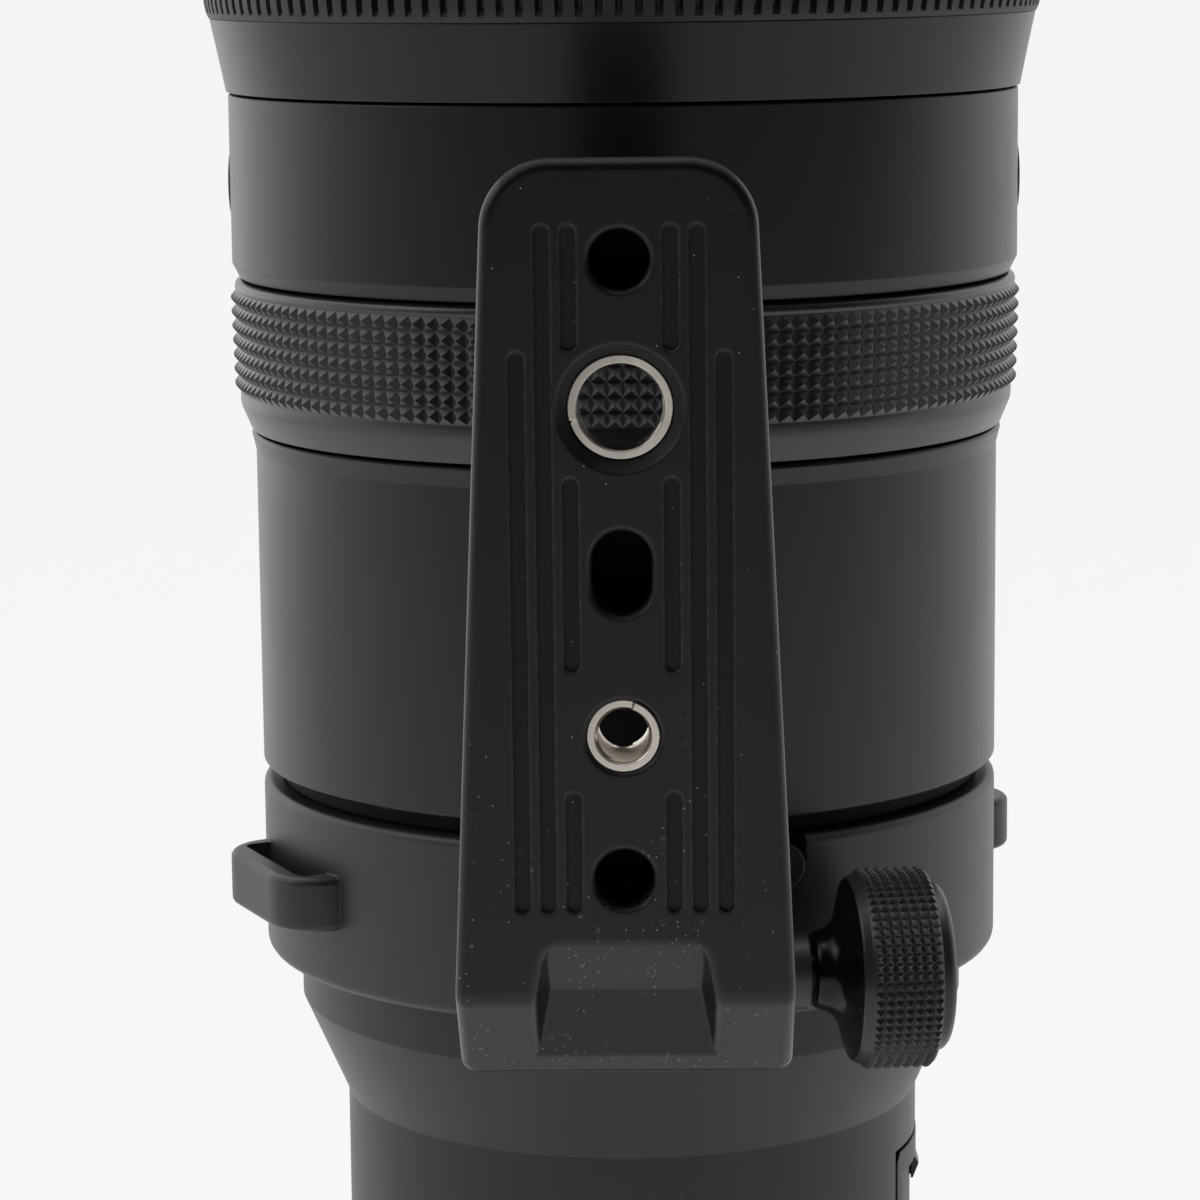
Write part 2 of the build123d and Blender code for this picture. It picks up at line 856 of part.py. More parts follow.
def make_cam_tube():
    body = tube(cam_outer, cam_inner, cam_start, cam_end)
    for height, travel, azimuth in cam_groups:
        for n in range(follower_count):
            body -= cam_slot(height, travel, azimuth + 360 / follower_count * n)
    for azimuth in zoom_key_places():
        body -= spoke(key_radius, cam_inner - cut_over, cam_outer + cut_over, azimuth, key_height)
    keep("cam_tube", body)


def make_guide_tube():
    body = tube(guide_outer, guide_inner, bulkhead_high, front_start)
    body += tube(tube_bore - seat_gap, guide_inner, front_start - guide_flange, front_start)
    half = follower_radius + slot_clear
    for height, travel, azimuth in cam_groups:
        low, high = min(height, height + travel) - half, max(height, height + travel) + half
        slot = block(-half, half, -guide_outer - cut_over, -guide_inner + cut_over, low, high)
        for n in range(follower_count):
            body -= around(azimuth + 360 / follower_count * n, slot)
    keep("guide_tube", body)


def make_zoom_group(name, height, azimuth, length, glass_radius, edge, bulges):
    """Cell with three follower pins, and the glass seated on its lip."""
    low, high = height - length / 2, height + length / 2
    glass_low = height - edge / 2
    cell = turned(
        (glass_radius - shell_wall, low),
        (cell_radius, low),
        (cell_radius, high),
        (glass_radius + seat_gap, high),
        (glass_radius + seat_gap, glass_low),
        (glass_radius - shell_wall, glass_low),
    )
    for n in range(follower_count):
        cell += spoke(follower_radius, cell_radius - follower_radius, cam_outer - run_gap,
                      azimuth + 360 / follower_count * n, height)
    keep(f"{name}_cell", cell)
    keep(f"{name}_element", glass(glass_radius, shell_wall, glass_low, edge, *bulges))


# Focus drive, iris and stabiliser


def make_focus_drive():
    base = tube(tube_bore - seat_gap, focus_opening, focus_base_low, focus_base_high)
    bulkhead = tube(tube_bore - seat_gap, focus_opening, bulkhead_low, bulkhead_high)
    rods = []
    for azimuth in rod_azimuths:
        rod = Pos(0, -rod_circle, 0) * disc(rod_radius, focus_base_low, bulkhead_high)
        rod = around(azimuth, rod)
        rods.append(rod)
        base -= rod
        bulkhead -= rod
    keep("focus_base", base)
    keep("inner_bulkhead", bulkhead)
    keep("focus_guide_rods", Compound(rods))
    motor_high = focus_base_high + motor_length
    bearing_low = focus_base_high + motor_length / 2
    motor = disc(motor_radius, focus_base_high, motor_high)
    motor -= disc(screw_radius + run_gap, bearing_low, motor_high)
    screw = disc(screw_radius, bearing_low + run_gap, bulkhead_low - run_gap)
    keep("focus_motor", around(motor_azimuth, Pos(0, -rod_circle, 0) * motor))
    keep("focus_lead_screw", around(motor_azimuth, Pos(0, -rod_circle, 0) * screw))


def make_focus_cell():
    low, high = focus_cell_low, focus_cell_low + focus_cell_length
    cell = tube(focus_cell_outer, focus_glass_radius + seat_gap, low, high)
    cell += tube(focus_cell_outer, focus_glass_radius - shell_wall, low, low + shell_wall)
    arms = [(azimuth, low, rod_radius) for azimuth in rod_azimuths]
    arms.append((motor_azimuth, high - nut_length, screw_radius))
    for azimuth, arm_low, pin_radius in arms:
        arm_foot = -focus_cell_outer + shell_wall / 2
        arm = block(-ear_half, ear_half, -rod_circle - ear_half, arm_foot, arm_low, high)
        hole = Pos(0, -rod_circle, 0) * disc(pin_radius + rod_clear, low - cut_over, high + cut_over)
        cell += around(azimuth, arm)
        cell -= around(azimuth, hole)
    keep("focus_cell", cell)
    keep("focus_element", glass(focus_glass_radius, shell_wall, low + shell_wall, focus_cell_length / 2,
                                rear_glass_sag / 2, rear_glass_sag / 2))


def make_iris():
    outer = spigot_inner - seat_gap
    plate_low = iris_high - shell_wall
    housing = tube(outer, iris_opening, plate_low, iris_high)
    housing += tube(outer, iris_ring_outer + run_gap, iris_low, plate_low)
    keep("iris_housing", housing)
    blade_high = plate_low - seat_gap
    blade_low = blade_high - iris_blade_thickness
    keep("iris_drive_ring", tube(iris_ring_outer, iris_ring_inner, iris_low + run_gap, blade_low - run_gap))
    pitch = 360 / iris_blade_count
    blades = [sector(iris_ring_outer - run_gap, iris_opening + run_gap, blade_low, blade_high,
                     pitch * n, pitch - iris_blade_gap) for n in range(iris_blade_count)]
    keep("iris_blades", Compound(blades))


def make_stabiliser():
    outer = spigot_inner - seat_gap
    base = tube(outer, shift_opening, shift_base_low, shift_base_low + shell_wall)
    base += tube(outer, shift_frame_radius + 2 * shift_travel + run_gap, shift_base_low, iris_low)
    keep("stabiliser_base", base)
    frame_low = shift_base_low + shell_wall + run_gap
    keep("stabiliser_frame", tube(shift_frame_radius, shift_opening, frame_low, frame_low + shell_wall))
    cell_low = frame_low + shell_wall + run_gap
    cell = tube(shift_frame_radius, shift_glass_radius + seat_gap, cell_low, cell_low + shift_cell_length)
    cell += tube(shift_frame_radius, shift_glass_radius - shell_wall, cell_low, cell_low + shell_wall)
    keep("stabiliser_cell", cell)
    element_length = shift_cell_length - 2 * shell_wall
    keep("stabiliser_element", glass(shift_glass_radius, shell_wall, cell_low + shell_wall, element_length,
                                     rear_glass_sag / 4, rear_glass_sag / 2))


# Front group


def make_front():
    shell = turned(
        (tube_radius + seat_gap, front_start),
        (front_radius - edge_chamfer, front_start),
        (front_radius, front_start + edge_chamfer),
        (front_radius, front_end - 2 * edge_chamfer),
        (front_radius - 2 * edge_chamfer, front_end),
        (filter_ring_outer + seat_gap, front_end),
        (filter_ring_outer + seat_gap, filter_seat),
        (front_cell_outer + seat_gap, filter_seat),
        (front_cell_outer + seat_gap, front_cell_low),
        (tube_radius + seat_gap, front_cell_low),
    )
    track_low = front_start + front_barrel_length * hood_track_share
    track_floor = front_radius - hood_track_depth
    shell -= tube(front_radius + cut_over, track_floor, track_low, track_low + hood_track_width)
    for n in range(hood_slot_count):
        middle = hood_slot_azimuth + 360 / hood_slot_count * n
        shell -= sector(front_radius + cut_over, track_floor, track_low, front_end + cut_over,
                        middle - hood_slot_angle / 2, hood_slot_angle)
    keep("front_barrel", shell)
    ring = turned(
        (filter_radius, front_end - filter_depth),
        (filter_radius, front_end),
        (filter_ring_outer, front_end),
        (filter_ring_outer, filter_seat),
        (front_glass_radius - front_land, filter_seat),
        (front_glass_radius - front_land, filter_seat + shell_wall),
        (front_glass_radius + shell_wall, front_end - filter_depth),
    )
    keep("filter_ring", ring)


def make_front_cell():
    low, high = front_cell_low, filter_seat
    opening = front_glass_radius - front_land
    cell = turned(
        (opening, low),
        (front_cell_outer, low),
        (front_cell_outer, high),
        (front_glass_radius + seat_gap, high),
        (front_glass_radius + seat_gap, low + shell_wall),
        (opening, low + shell_wall),
    )
    keep("front_cell", cell)
    spacer_low = low + shell_wall + front_edge
    spacer_high = high - front_edge
    keep("second_element", glass(front_glass_radius, front_land, low + shell_wall, front_edge,
                                 front_sag / 3, front_sag / 2))
    keep("front_spacer", tube(front_glass_radius, opening, spacer_low, spacer_high))
    keep("front_element", glass(front_glass_radius, front_land, spacer_high, front_edge,
                                front_sag / 4, front_sag))


# Tripod collar


def lug(azimuth):
    """Strap loop that stands off the ring, with its opening along the lens axis."""
    root = track_radius - lug_corner
    outer = collar_radius + lug_reach
    low = collar_start + lug_mid - lug_height / 2
    outline = Pos(0, -(root + outer) / 2) * RectangleRounded(2 * lug_half_width, outer - root, lug_corner)
    loop = Pos(0, 0, low) * extrude(outline, lug_height)
    loop = fillet(loop.faces().filter_by(Axis.Z).edges(), lug_edge)
    hole_half = lug_half_width - lug_bar
    slot = block(-hole_half, hole_half, -(outer - lug_bar), 0, low - cut_over, low + lug_height + cut_over)
    slot = fillet(slot.edges().filter_by(Axis.Z).group_by(Axis.Y)[0], lug_bar / 2)
    slot -= disc(collar_radius - edge_chamfer, low - 2 * cut_over, low + lug_height + 2 * cut_over)
    return around(azimuth, loop - slot)


def knob_place():
    """Place on the clamp screw below the ring, turned so that +Z runs along the screw to the knob."""
    return Rot(0, 0, knob_tilt) * Pos(0, -knob_offset, collar_mid - knob_shift) * Rot(0, 90, 0)


def foot_screw(side, play, start):
    """Screw through the ring into the foot, or its hole if play widens it and start opens it inwards."""
    height = collar_mid + side * foot_screw_spread
    place = Pos(foot_screw_x, -foot_screw_seat - start, height) * Rot(90, 0, 0)
    head = disc(foot_screw_head + play, 0, shell_wall - start)
    return place * (head + disc(foot_screw_radius + play, 0, foot_screw_length - start))


def rounded_edge(radius, end, rise):
    """Outline points of a rounded outer edge that runs from an end face to the wall at this rise."""
    reach = abs(rise)
    turns = [step * pi / (2 * round_steps) for step in range(round_steps + 1)]
    return [(radius - reach + reach * sin(turn), end + rise - rise * cos(turn)) for turn in turns]


def make_collar():
    ring = turned(
        (collar_bore, collar_start),
        *rounded_edge(collar_radius, collar_start, collar_low_round),
        *rounded_edge(collar_radius, collar_end, -collar_high_round)[::-1],
        (collar_bore, collar_end),
    )
    base_low, base_high = collar_start + stem_rear_gap, collar_end - stem_rear_gap
    ear_left, ear_right = stem_right + split_width, stem_right + split_width + ear_width
    ring += block(-stem_left, stem_right, -base_seat, -track_radius, base_low, base_high)
    ring += block(ear_left, ear_right, -knob_offset, -track_radius, base_low, base_high)
    ring += knob_place() * disc(ear_round, 0, knob_boss_start)
    ring += knob_place() * disc(knob_boss_radius, 0, knob_boss_start + knob_boss_length)
    ring += lug(lug_azimuth) + lug(lug_azimuth + 180)
    ring -= disc(collar_bore, collar_start - cut_over, collar_end + cut_over)
    ring -= block(stem_right, ear_left, -foot_back, -spigot_inner, collar_start - cut_over,
                  collar_end + cut_over)
    stud_hole_end = knob_boss_start + 2 * knob_boss_length
    ring -= knob_place() * disc(stud_radius + seat_gap, -stud_reach - seat_gap, stud_hole_end)
    notch_floor, notch_rim = collar_bore + shell_wall / 2, collar_radius + 2 * stop_pin_proud
    pin_height = collar_end - stop_pin_radius - stop_pin_drop
    ring -= spoke(stop_pin_radius + run_gap, notch_floor, notch_rim, stop_pin_azimuth, pin_height)
    ring -= sector(notch_rim, notch_floor, pin_height, collar_end + cut_over,
                   stop_pin_azimuth, stop_notch_azimuth - stop_pin_azimuth)
    for side in (-1, 1):
        ring -= foot_screw(side, seat_gap, -cut_over)
    keep("tripod_collar", ring)
    keep("collar_stop_pin", spoke(stop_pin_radius, notch_floor + seat_gap, collar_radius + stop_pin_proud,
                                  stop_pin_azimuth, pin_height))


def make_foot():
    outline = make_face(Polyline(
        (-foot_half_front, foot_front), (foot_half_front, foot_front),
        (foot_half_rear, foot_rear), (-foot_half_rear, foot_rear), close=True,
    ))
    outline = fillet(outline.vertices().group_by(Axis.Y)[-1], foot_corner_front)
    outline = fillet(outline.vertices().group_by(Axis.Y)[0], foot_corner_rear)
    face_plane = Plane(origin=(0, -foot_face, 0), x_dir=(1, 0, 0), z_dir=(0, -1, 0))
    bar = extrude(face_plane * outline, -foot_thickness, taper=foot_draft)
    over = cut_over * foot_slope_rise / foot_thickness
    wedge = make_face(Polyline(
        (-foot_face - cut_over, foot_slope_top + over), (-foot_back, foot_rear),
        (-foot_back, foot_rear - cut_over), (-foot_face - cut_over, foot_rear - cut_over), close=True,
    ))
    reach = foot_half_rear + cut_over
    bar -= Pos(-reach, 0, 0) * extrude(Plane.YZ * wedge, 2 * reach)
    bar = fillet(bar.faces().sort_by(Axis.Y)[0].edges().sort_by(Axis.Z)[0], foot_ridge)
    bar = fillet(front_outline(bar), foot_edge)
    bar -= rear_notch()
    bar = fillet(notch_outline(bar), notch_edge)
    bar += make_stem() - rear_notch()
    for side in (-1, 1):
        bar -= foot_screw(side, 0, 0)
    keep("tripod_foot", cut_foot_face(bar))


def front_outline(bar):
    """Edges that run round the faces turned away from the lens."""
    fronts = [face for face in bar.faces() if face.normal_at().Y < -foot_front_share]
    edges = [edge for face in fronts for edge in face.edges()]
    return [edge for edge in edges if sum(edge.is_same(other) for other in edges) == 1]


def notch_outline(bar):
    """Edges round the mouth of the recess in the foot."""
    corner = -foot_face + notch_depth
    return [
        edge for edge in bar.edges()
        if all(abs(point.X) < notch_low_half + edge_chamfer for point in edge.vertices())
        and all(point.Z < foot_slope_top + notch_rise + edge_chamfer for point in edge.vertices())
        and all(abs(point.Y - corner) > seat_gap for point in edge.vertices())
    ]


def make_stem():
    """Leg between the ring and the bar, with a slanted inner corner for the fingers."""
    low, high = collar_start + stem_rear_gap, collar_end - stem_rear_gap
    inside = -foot_back - foot_thickness / 2
    profile = make_face(Polyline(
        (-base_seat, low), (-base_seat, high), (stem_corner - foot_back, high),
        (-foot_back, high + stem_corner), (inside, high + stem_corner),
        (inside, foot_slope_top), (-foot_back, foot_rear + edge_chamfer), close=True,
    ))
    return Pos(-stem_left, 0, 0) * extrude(Plane.YZ * profile, stem_left + stem_right)


def rear_notch():
    """Wedge-shaped recess in the middle of the foot's sloping end."""
    overrun = 1 + notch_overrun_share
    low_depth = notch_depth + (foot_thickness * notch_low_share - notch_depth) * overrun
    low_height = foot_slope_top - foot_slope_rise * notch_low_share * overrun
    points = []
    for half, depth, height in (
        (notch_top_half, 0, foot_slope_top + notch_rise),
        (notch_top_half, -cut_over, foot_slope_top + notch_rise),
        (notch_step_half, notch_depth, foot_slope_top),
        (notch_low_half, low_depth, low_height),
        (notch_low_half, low_depth - 2 * cut_over, low_height - cut_over),
        (notch_low_half + edge_chamfer, -cut_over, foot_slope_top - cut_over),
    ):
        points += [(side * half, depth - foot_face, height) for side in (-1, 1)]
    return ConvexPolyhedron(points)


def into_face(x, height):
    """Place on the foot's face, turned so that +Z goes into the foot."""
    return Pos(x, -foot_face, height) * Rot(-90, 0, 0)


def cut_foot_face(bar):
    large = into_face(0, hole_row_height + thread_offset)
    small = into_face(0, hole_row_height - thread_offset)
    slot = into_face(0, hole_row_height)
    pin_rim = pin_hole_radius + hole_chamfer
    for side in (-1, 1):
        place = into_face(0, hole_row_height + side * pin_hole_offset)
        bar -= place * disc(pin_hole_radius, -cut_over, pin_hole_depth)
        bar -= place * Cone(pin_rim, pin_hole_radius, hole_chamfer, align=from_base)
    bar -= slot * extrude(SlotOverall(slot_hole_length, 2 * pin_hole_radius, rotation=90), pin_hole_depth)
    rim_face = SlotOverall(slot_hole_length + 2 * hole_chamfer, 2 * pin_rim, rotation=90)
    bar -= slot * extrude(rim_face, hole_chamfer, taper=45)
    bar -= large * disc(large_insert_radius + seat_gap, -cut_over, foot_thickness + cut_over)
    bar -= large * Cone(large_recess_radius, large_insert_radius, large_recess_depth, align=from_base)
    bar -= small * disc(small_insert_radius + seat_gap, -cut_over, foot_thickness + cut_over)
    rim_cone = Cone(small_insert_radius + hole_chamfer, small_insert_radius, hole_chamfer, align=from_base)
    return cut_grooves(bar - small * rim_cone, hole_row_height)


def cut_grooves(bar, middle):
    """Shallow grip grooves in three mirrored columns, the inner one broken beside the threads."""
    reach = pin_hole_offset + groove_end_margin
    long_low, long_high = middle - reach - edge_chamfer, middle + reach + edge_chamfer
    near, far = thread_offset - large_recess_radius, thread_offset + groove_break_far
    inner_runs = [
        (long_low, middle - far),
        (middle - near, middle + near - edge_chamfer),
        (middle + far, long_high),
    ]
    columns = [(groove_first, inner_runs),
               (groove_first + groove_pitch, [(long_low, long_high)]),
               (groove_first + 2 * groove_pitch, [(long_low, middle + far)])]
    for x, runs in columns:
        for low, high in runs:
            slot = extrude(SlotOverall(high - low, groove_width, rotation=90), groove_depth)
            for side in (-1, 1):
                bar -= into_face(side * x, (low + high) / 2) * slot
    return bar


def make_inserts():
    large = tube(large_insert_radius, large_thread_radius, large_recess_depth,
                 large_recess_depth + large_insert_length)
    small = tube(small_insert_radius, small_thread_radius, hole_chamfer, foot_thickness - edge_chamfer)
    keep("large_thread_insert", into_face(0, hole_row_height + thread_offset) * large)
    keep("small_thread_insert", into_face(0, hole_row_height - thread_offset) * small)
    keep("foot_screws", Compound([foot_screw(side, 0, 0) for side in (-1, 1)]))


def make_knob():
    start = knob_boss_start + knob_boss_length + knob_gap
    shoulder = start + knob_shoulder_length
    grip_low = shoulder + knob_band_length
    grip_high = grip_low + knob_grip_length
    end = grip_high + knob_end_length
    root_radius = knob_radius - knob_tooth_depth
    drum_radius = root_radius - edge_chamfer
    drum = turned(
        (0, start), (knob_boss_radius - edge_chamfer, start), (knob_boss_radius, start + edge_chamfer),
        (knob_boss_radius + knob_neck_rise, start + knob_neck_length),
        (knob_flare_radius, start + knob_flare_length), (knob_shoulder_radius, shoulder),
        (drum_radius, grip_low), (drum_radius, grip_high), (knob_end_radius, grip_high),
        (knob_end_radius, end - knob_end_bevel), (knob_end_radius - knob_end_bevel, end),
        (knob_end_radius * knob_dome_share, end + knob_dome * (1 - knob_dome_share)), (0, end + knob_dome),
    )
    pitch = knob_grip_length / knob_rows
    rows = [(0, grip_low), (root_radius, grip_low)]
    for n in range(knob_rows):
        rows += [(knob_radius, grip_low + (n + 0.5) * pitch), (root_radius, grip_low + (n + 1) * pitch)]
    rows.append((0, grip_high))
    star = []
    for n in range(2 * knob_teeth):
        radius = knob_radius if n % 2 else root_radius
        angle = pi * n / knob_teeth
        star.append((radius * cos(angle), radius * sin(angle)))
    teeth = Pos(0, 0, grip_low) * extrude(make_face(Polyline(*star, close=True)), knob_grip_length)
    keep("clamp_knob", knob_place() * (drum + (turned(*rows) & teeth)))
    keep("clamp_stud", knob_place() * disc(stud_radius, -stud_reach, start))


make_mount()
make_gasket()
make_contacts()
make_baffle()
make_rear_barrel()
make_switch_panel()
make_switches()
make_rear_group()
make_board()
make_main_tube()
make_middle_barrel()
make_front_sleeve()
make_buttons()
make_focus_ring()
make_zoom_ring()
make_cam_tube()
make_guide_tube()
make_zoom_group("variator", variator_height, variator_azimuth, variator_length,
                variator_glass_radius, variator_edge, variator_bulges)
make_zoom_group("compensator", compensator_height, compensator_azimuth, compensator_length,
                compensator_glass_radius, compensator_edge, compensator_bulges)
make_focus_drive()
make_focus_cell()
make_iris()
make_stabiliser()
make_front()
make_front_cell()
make_collar()
make_foot()
make_inserts()
make_knob()

os.makedirs("parts", exist_ok=True)
for node, shape in parts.items():
    export_step(shape, f"parts/{node}.step")
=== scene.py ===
from math import cos, pi, radians, sin

import bmesh
import bpy
from bpy.props import FloatProperty, FloatVectorProperty, IntProperty, PointerProperty
from mathutils import Matrix, Vector


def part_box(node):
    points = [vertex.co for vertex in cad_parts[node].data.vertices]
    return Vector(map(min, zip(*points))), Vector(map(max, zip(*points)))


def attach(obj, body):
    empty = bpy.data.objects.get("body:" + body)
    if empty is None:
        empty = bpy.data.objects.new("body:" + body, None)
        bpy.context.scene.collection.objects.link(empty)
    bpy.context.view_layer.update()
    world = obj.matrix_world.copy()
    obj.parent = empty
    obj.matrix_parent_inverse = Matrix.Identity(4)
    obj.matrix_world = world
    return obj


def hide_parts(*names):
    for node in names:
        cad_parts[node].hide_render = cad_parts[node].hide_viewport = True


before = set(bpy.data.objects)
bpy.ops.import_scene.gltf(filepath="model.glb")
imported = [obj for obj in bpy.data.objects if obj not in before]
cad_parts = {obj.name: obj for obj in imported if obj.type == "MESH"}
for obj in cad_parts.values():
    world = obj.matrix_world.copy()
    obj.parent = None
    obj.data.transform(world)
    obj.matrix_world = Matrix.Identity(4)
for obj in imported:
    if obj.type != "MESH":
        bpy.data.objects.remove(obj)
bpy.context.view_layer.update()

bl_info = {
    "name": "Camera zoom lens",
    "version": (1, 0, 0),
    "blender": (4, 5, 0),
    "location": "View3D > Sidebar > Zoom Lens",
    "description": "Dresses the packed frame of a long zoom lens and sets its studio",
    "category": "Object",
}

MM = 0.001
FOOT_FACE = -94.0

EVEN = (1.0, 1.0, 1.0)
WHITE = (*EVEN, 1.0)


def colour_value(name, description, default):
    return FloatVectorProperty(name=name, description=description, subtype="COLOR", size=3,
                               min=0.0, max=1.0, default=default)


def share_value(name, description, default):
    return FloatProperty(name=name, description=description, subtype="FACTOR", min=0.0, max=1.0,
                         default=default)


def size_value(name, description, default):
    return FloatProperty(name=f"{name} (mm)", description=description, min=0.0, default=default)


def strength_value(name, description, default):
    return FloatProperty(name=name, description=description, min=0.0, default=default)


def count_value(name, description, default, least):
    return IntProperty(name=name, description=description, default=default, min=least)


class LensFinishes(bpy.types.PropertyGroup):
    """Colours and gloss of the lens"""

    paint: colour_value("Barrel paint", "Satin black of the metal barrels", (0.0062, 0.0064, 0.007))
    paint_roughness: share_value("Paint roughness", "Roughness of the barrel paint", 0.32)
    # Partly the rear barrel's own lighter finish, partly painted light that brightens the lens's lower half.
    rear_paint_and_light: colour_value("Rear paint and light", "Black of the rear barrel", (0.0098, 0.01, 0.0107))
    foot_paint: colour_value("Foot paint", "Black of the tripod foot", (0.0038, 0.0038, 0.004))
    # Partly the collar's own textured finish, partly painted light that brightens the lens's lower half.
    collar_paint_and_light: colour_value("Collar paint and light", "Textured black of the tripod collar", (0.029, 0.0293, 0.0308))
    grip: colour_value("Grip rubber", "Black of the ribbed and knurled grips", (0.017, 0.0174, 0.018))
    plastic: colour_value("Plastic", "Black of the switches and the contact block", (0.012, 0.012, 0.0125))
    # Partly paint worn through on edges, partly a painted highlight where edges catch the light.
    edge: colour_value("Worn and highlit edge", "Lighter grey over edges: worn paint and painted highlight", (0.09, 0.09, 0.092))
    dust: colour_value("Dust", "Pale specks that lie on black paint", (0.42, 0.4, 0.37))
    wire: colour_value("Insert wire", "Warm silver of the thread inserts", (0.74, 0.685, 0.62))
    mount: colour_value("Mount metal", "Plated metal of the bayonet", (0.62, 0.62, 0.63))
    contact: colour_value("Contact gold", "Plating of the contact pins", (0.83, 0.58, 0.22))
    anodised: colour_value("Inner metal", "Black anodised inner tubes and cells", (0.02, 0.02, 0.021))
    board: colour_value("Circuit board", "Lacquer of the main board", (0.015, 0.09, 0.045))
    glass: colour_value("Glass", "Tint of the lens elements", (0.9, 0.95, 0.96))
    coating: colour_value("Coating", "Tint of the reflections from the glass", (0.45, 0.75, 0.6))


class LensSizes(bpy.types.PropertyGroup):
    """Sizes of the dressed pieces"""

    focus_rows: count_value("Focus rows", "Rows of pyramids on the focus ring", 7, least=1)
    focus_columns: count_value("Focus columns", "Pyramids around the focus ring", 165, least=12)
    focus_stud: size_value("Focus stud", "Height of the focus ring's pyramids", 0.75)
    grip_ribs: count_value("Grip ribs", "Ribs around the zoom grip", 144, least=12)
    grip_valley: size_value("Grip valley", "Depth of the valleys between the ribs", 1.0)
    knob_columns: count_value("Knob columns", "Pyramids around the clamp knob", 66, least=12)
    knob_rows: count_value("Knob rows", "Rows of pyramids on the clamp knob", 7, least=1)
    knob_stud: size_value("Knob stud", "Height of the knob's pyramids", 0.5)
    large_pitch: size_value("Large thread pitch", "Pitch of the 3/8 inch insert", 1.5875)
    small_pitch: size_value("Small thread pitch", "Pitch of the 1/4 inch insert", 1.27)


class LensStudio(bpy.types.PropertyGroup):
    """Light and backdrop"""

    backdrop: share_value("Backdrop", "Brightness of the backdrop as the camera sees it", 0.975)
    shade: share_value("Shadow share", "How much of the light and shadow on the backdrop shows", 0.12)
    room: strength_value("Room light", "Strength of the room behind and beside the lens", 0.95)
    front: strength_value("Front light", "Strength of the room behind the camera", 0.03)
    back: strength_value("Back light", "Extra strength of the room behind the lens", 0.55)
    key: strength_value("Key light", "Power of the lamp over the camera's left", 3.0)
    top: strength_value("Top light", "Power of the lamp overhead", 8.0)
    lens: FloatProperty(name="Focal length", description="Focal length on a 36 mm sensor", default=120.0,
                        min=20.0)


# Shader maths


class Field:
    """One shader socket; numbers and other sockets combine with it as in plain arithmetic."""

    def __init__(self, paint, socket):
        self.paint = paint
        self.socket = socket

    def math(self, operation, *terms):
        inputs = dict(enumerate(terms))
        return self.paint.node("ShaderNodeMath", {"operation": operation}, inputs)

    def __add__(self, other):
        return self.math("ADD", self, other)

    def __radd__(self, other):
        return self.math("ADD", other, self)

    def __sub__(self, other):
        return self.math("SUBTRACT", self, other)

    def __rsub__(self, other):
        return self.math("SUBTRACT", other, self)

    def __mul__(self, other):
        return self.math("MULTIPLY", self, other)

    def __rmul__(self, other):
        return self.math("MULTIPLY", other, self)

    def __gt__(self, other):
        return self.math("GREATER_THAN", self, other)

    def __lt__(self, other):
        return self.math("LESS_THAN", self, other)

    def ramp(self, low, high):
        """0 below low, 1 above high and a smooth change between them."""
        return self.paint.node("ShaderNodeMapRange", {"interpolation_type": "SMOOTHSTEP"},
                               {"Value": self, "From Min": low, "From Max": high})


class Graph:
    """Node tree that the expressions on fields add their nodes to."""

    def __init__(self, tree, coordinates):
        self.tree = tree
        self.tree.nodes.clear()
        self.place = self.node("ShaderNodeTexCoord", output=coordinates)

    def node(self, kind, settings=None, inputs=None, output=0):
        """Adds a node with its settings, then its socket values or links, and returns one of its outputs."""
        made = self.tree.nodes.new(kind)
        for key, value in (settings or {}).items():
            setattr(made, key, value)
        for key, value in (inputs or {}).items():
            if isinstance(value, Field):
                self.tree.links.new(value.socket, made.inputs[key])
            else:
                made.inputs[key].default_value = value
        return Field(self, made.outputs[output]) if made.outputs else None

    def axis(self, name):
        """One of the coordinates X, Y and Z of the place."""
        return self.node("ShaderNodeSeparateXYZ", {}, {"Vector": self.place}, name)

    def ray(self, kind):
        """1 for rays of one kind, such as those that start at the camera."""
        return self.node("ShaderNodeLightPath", output=f"Is {kind} Ray")


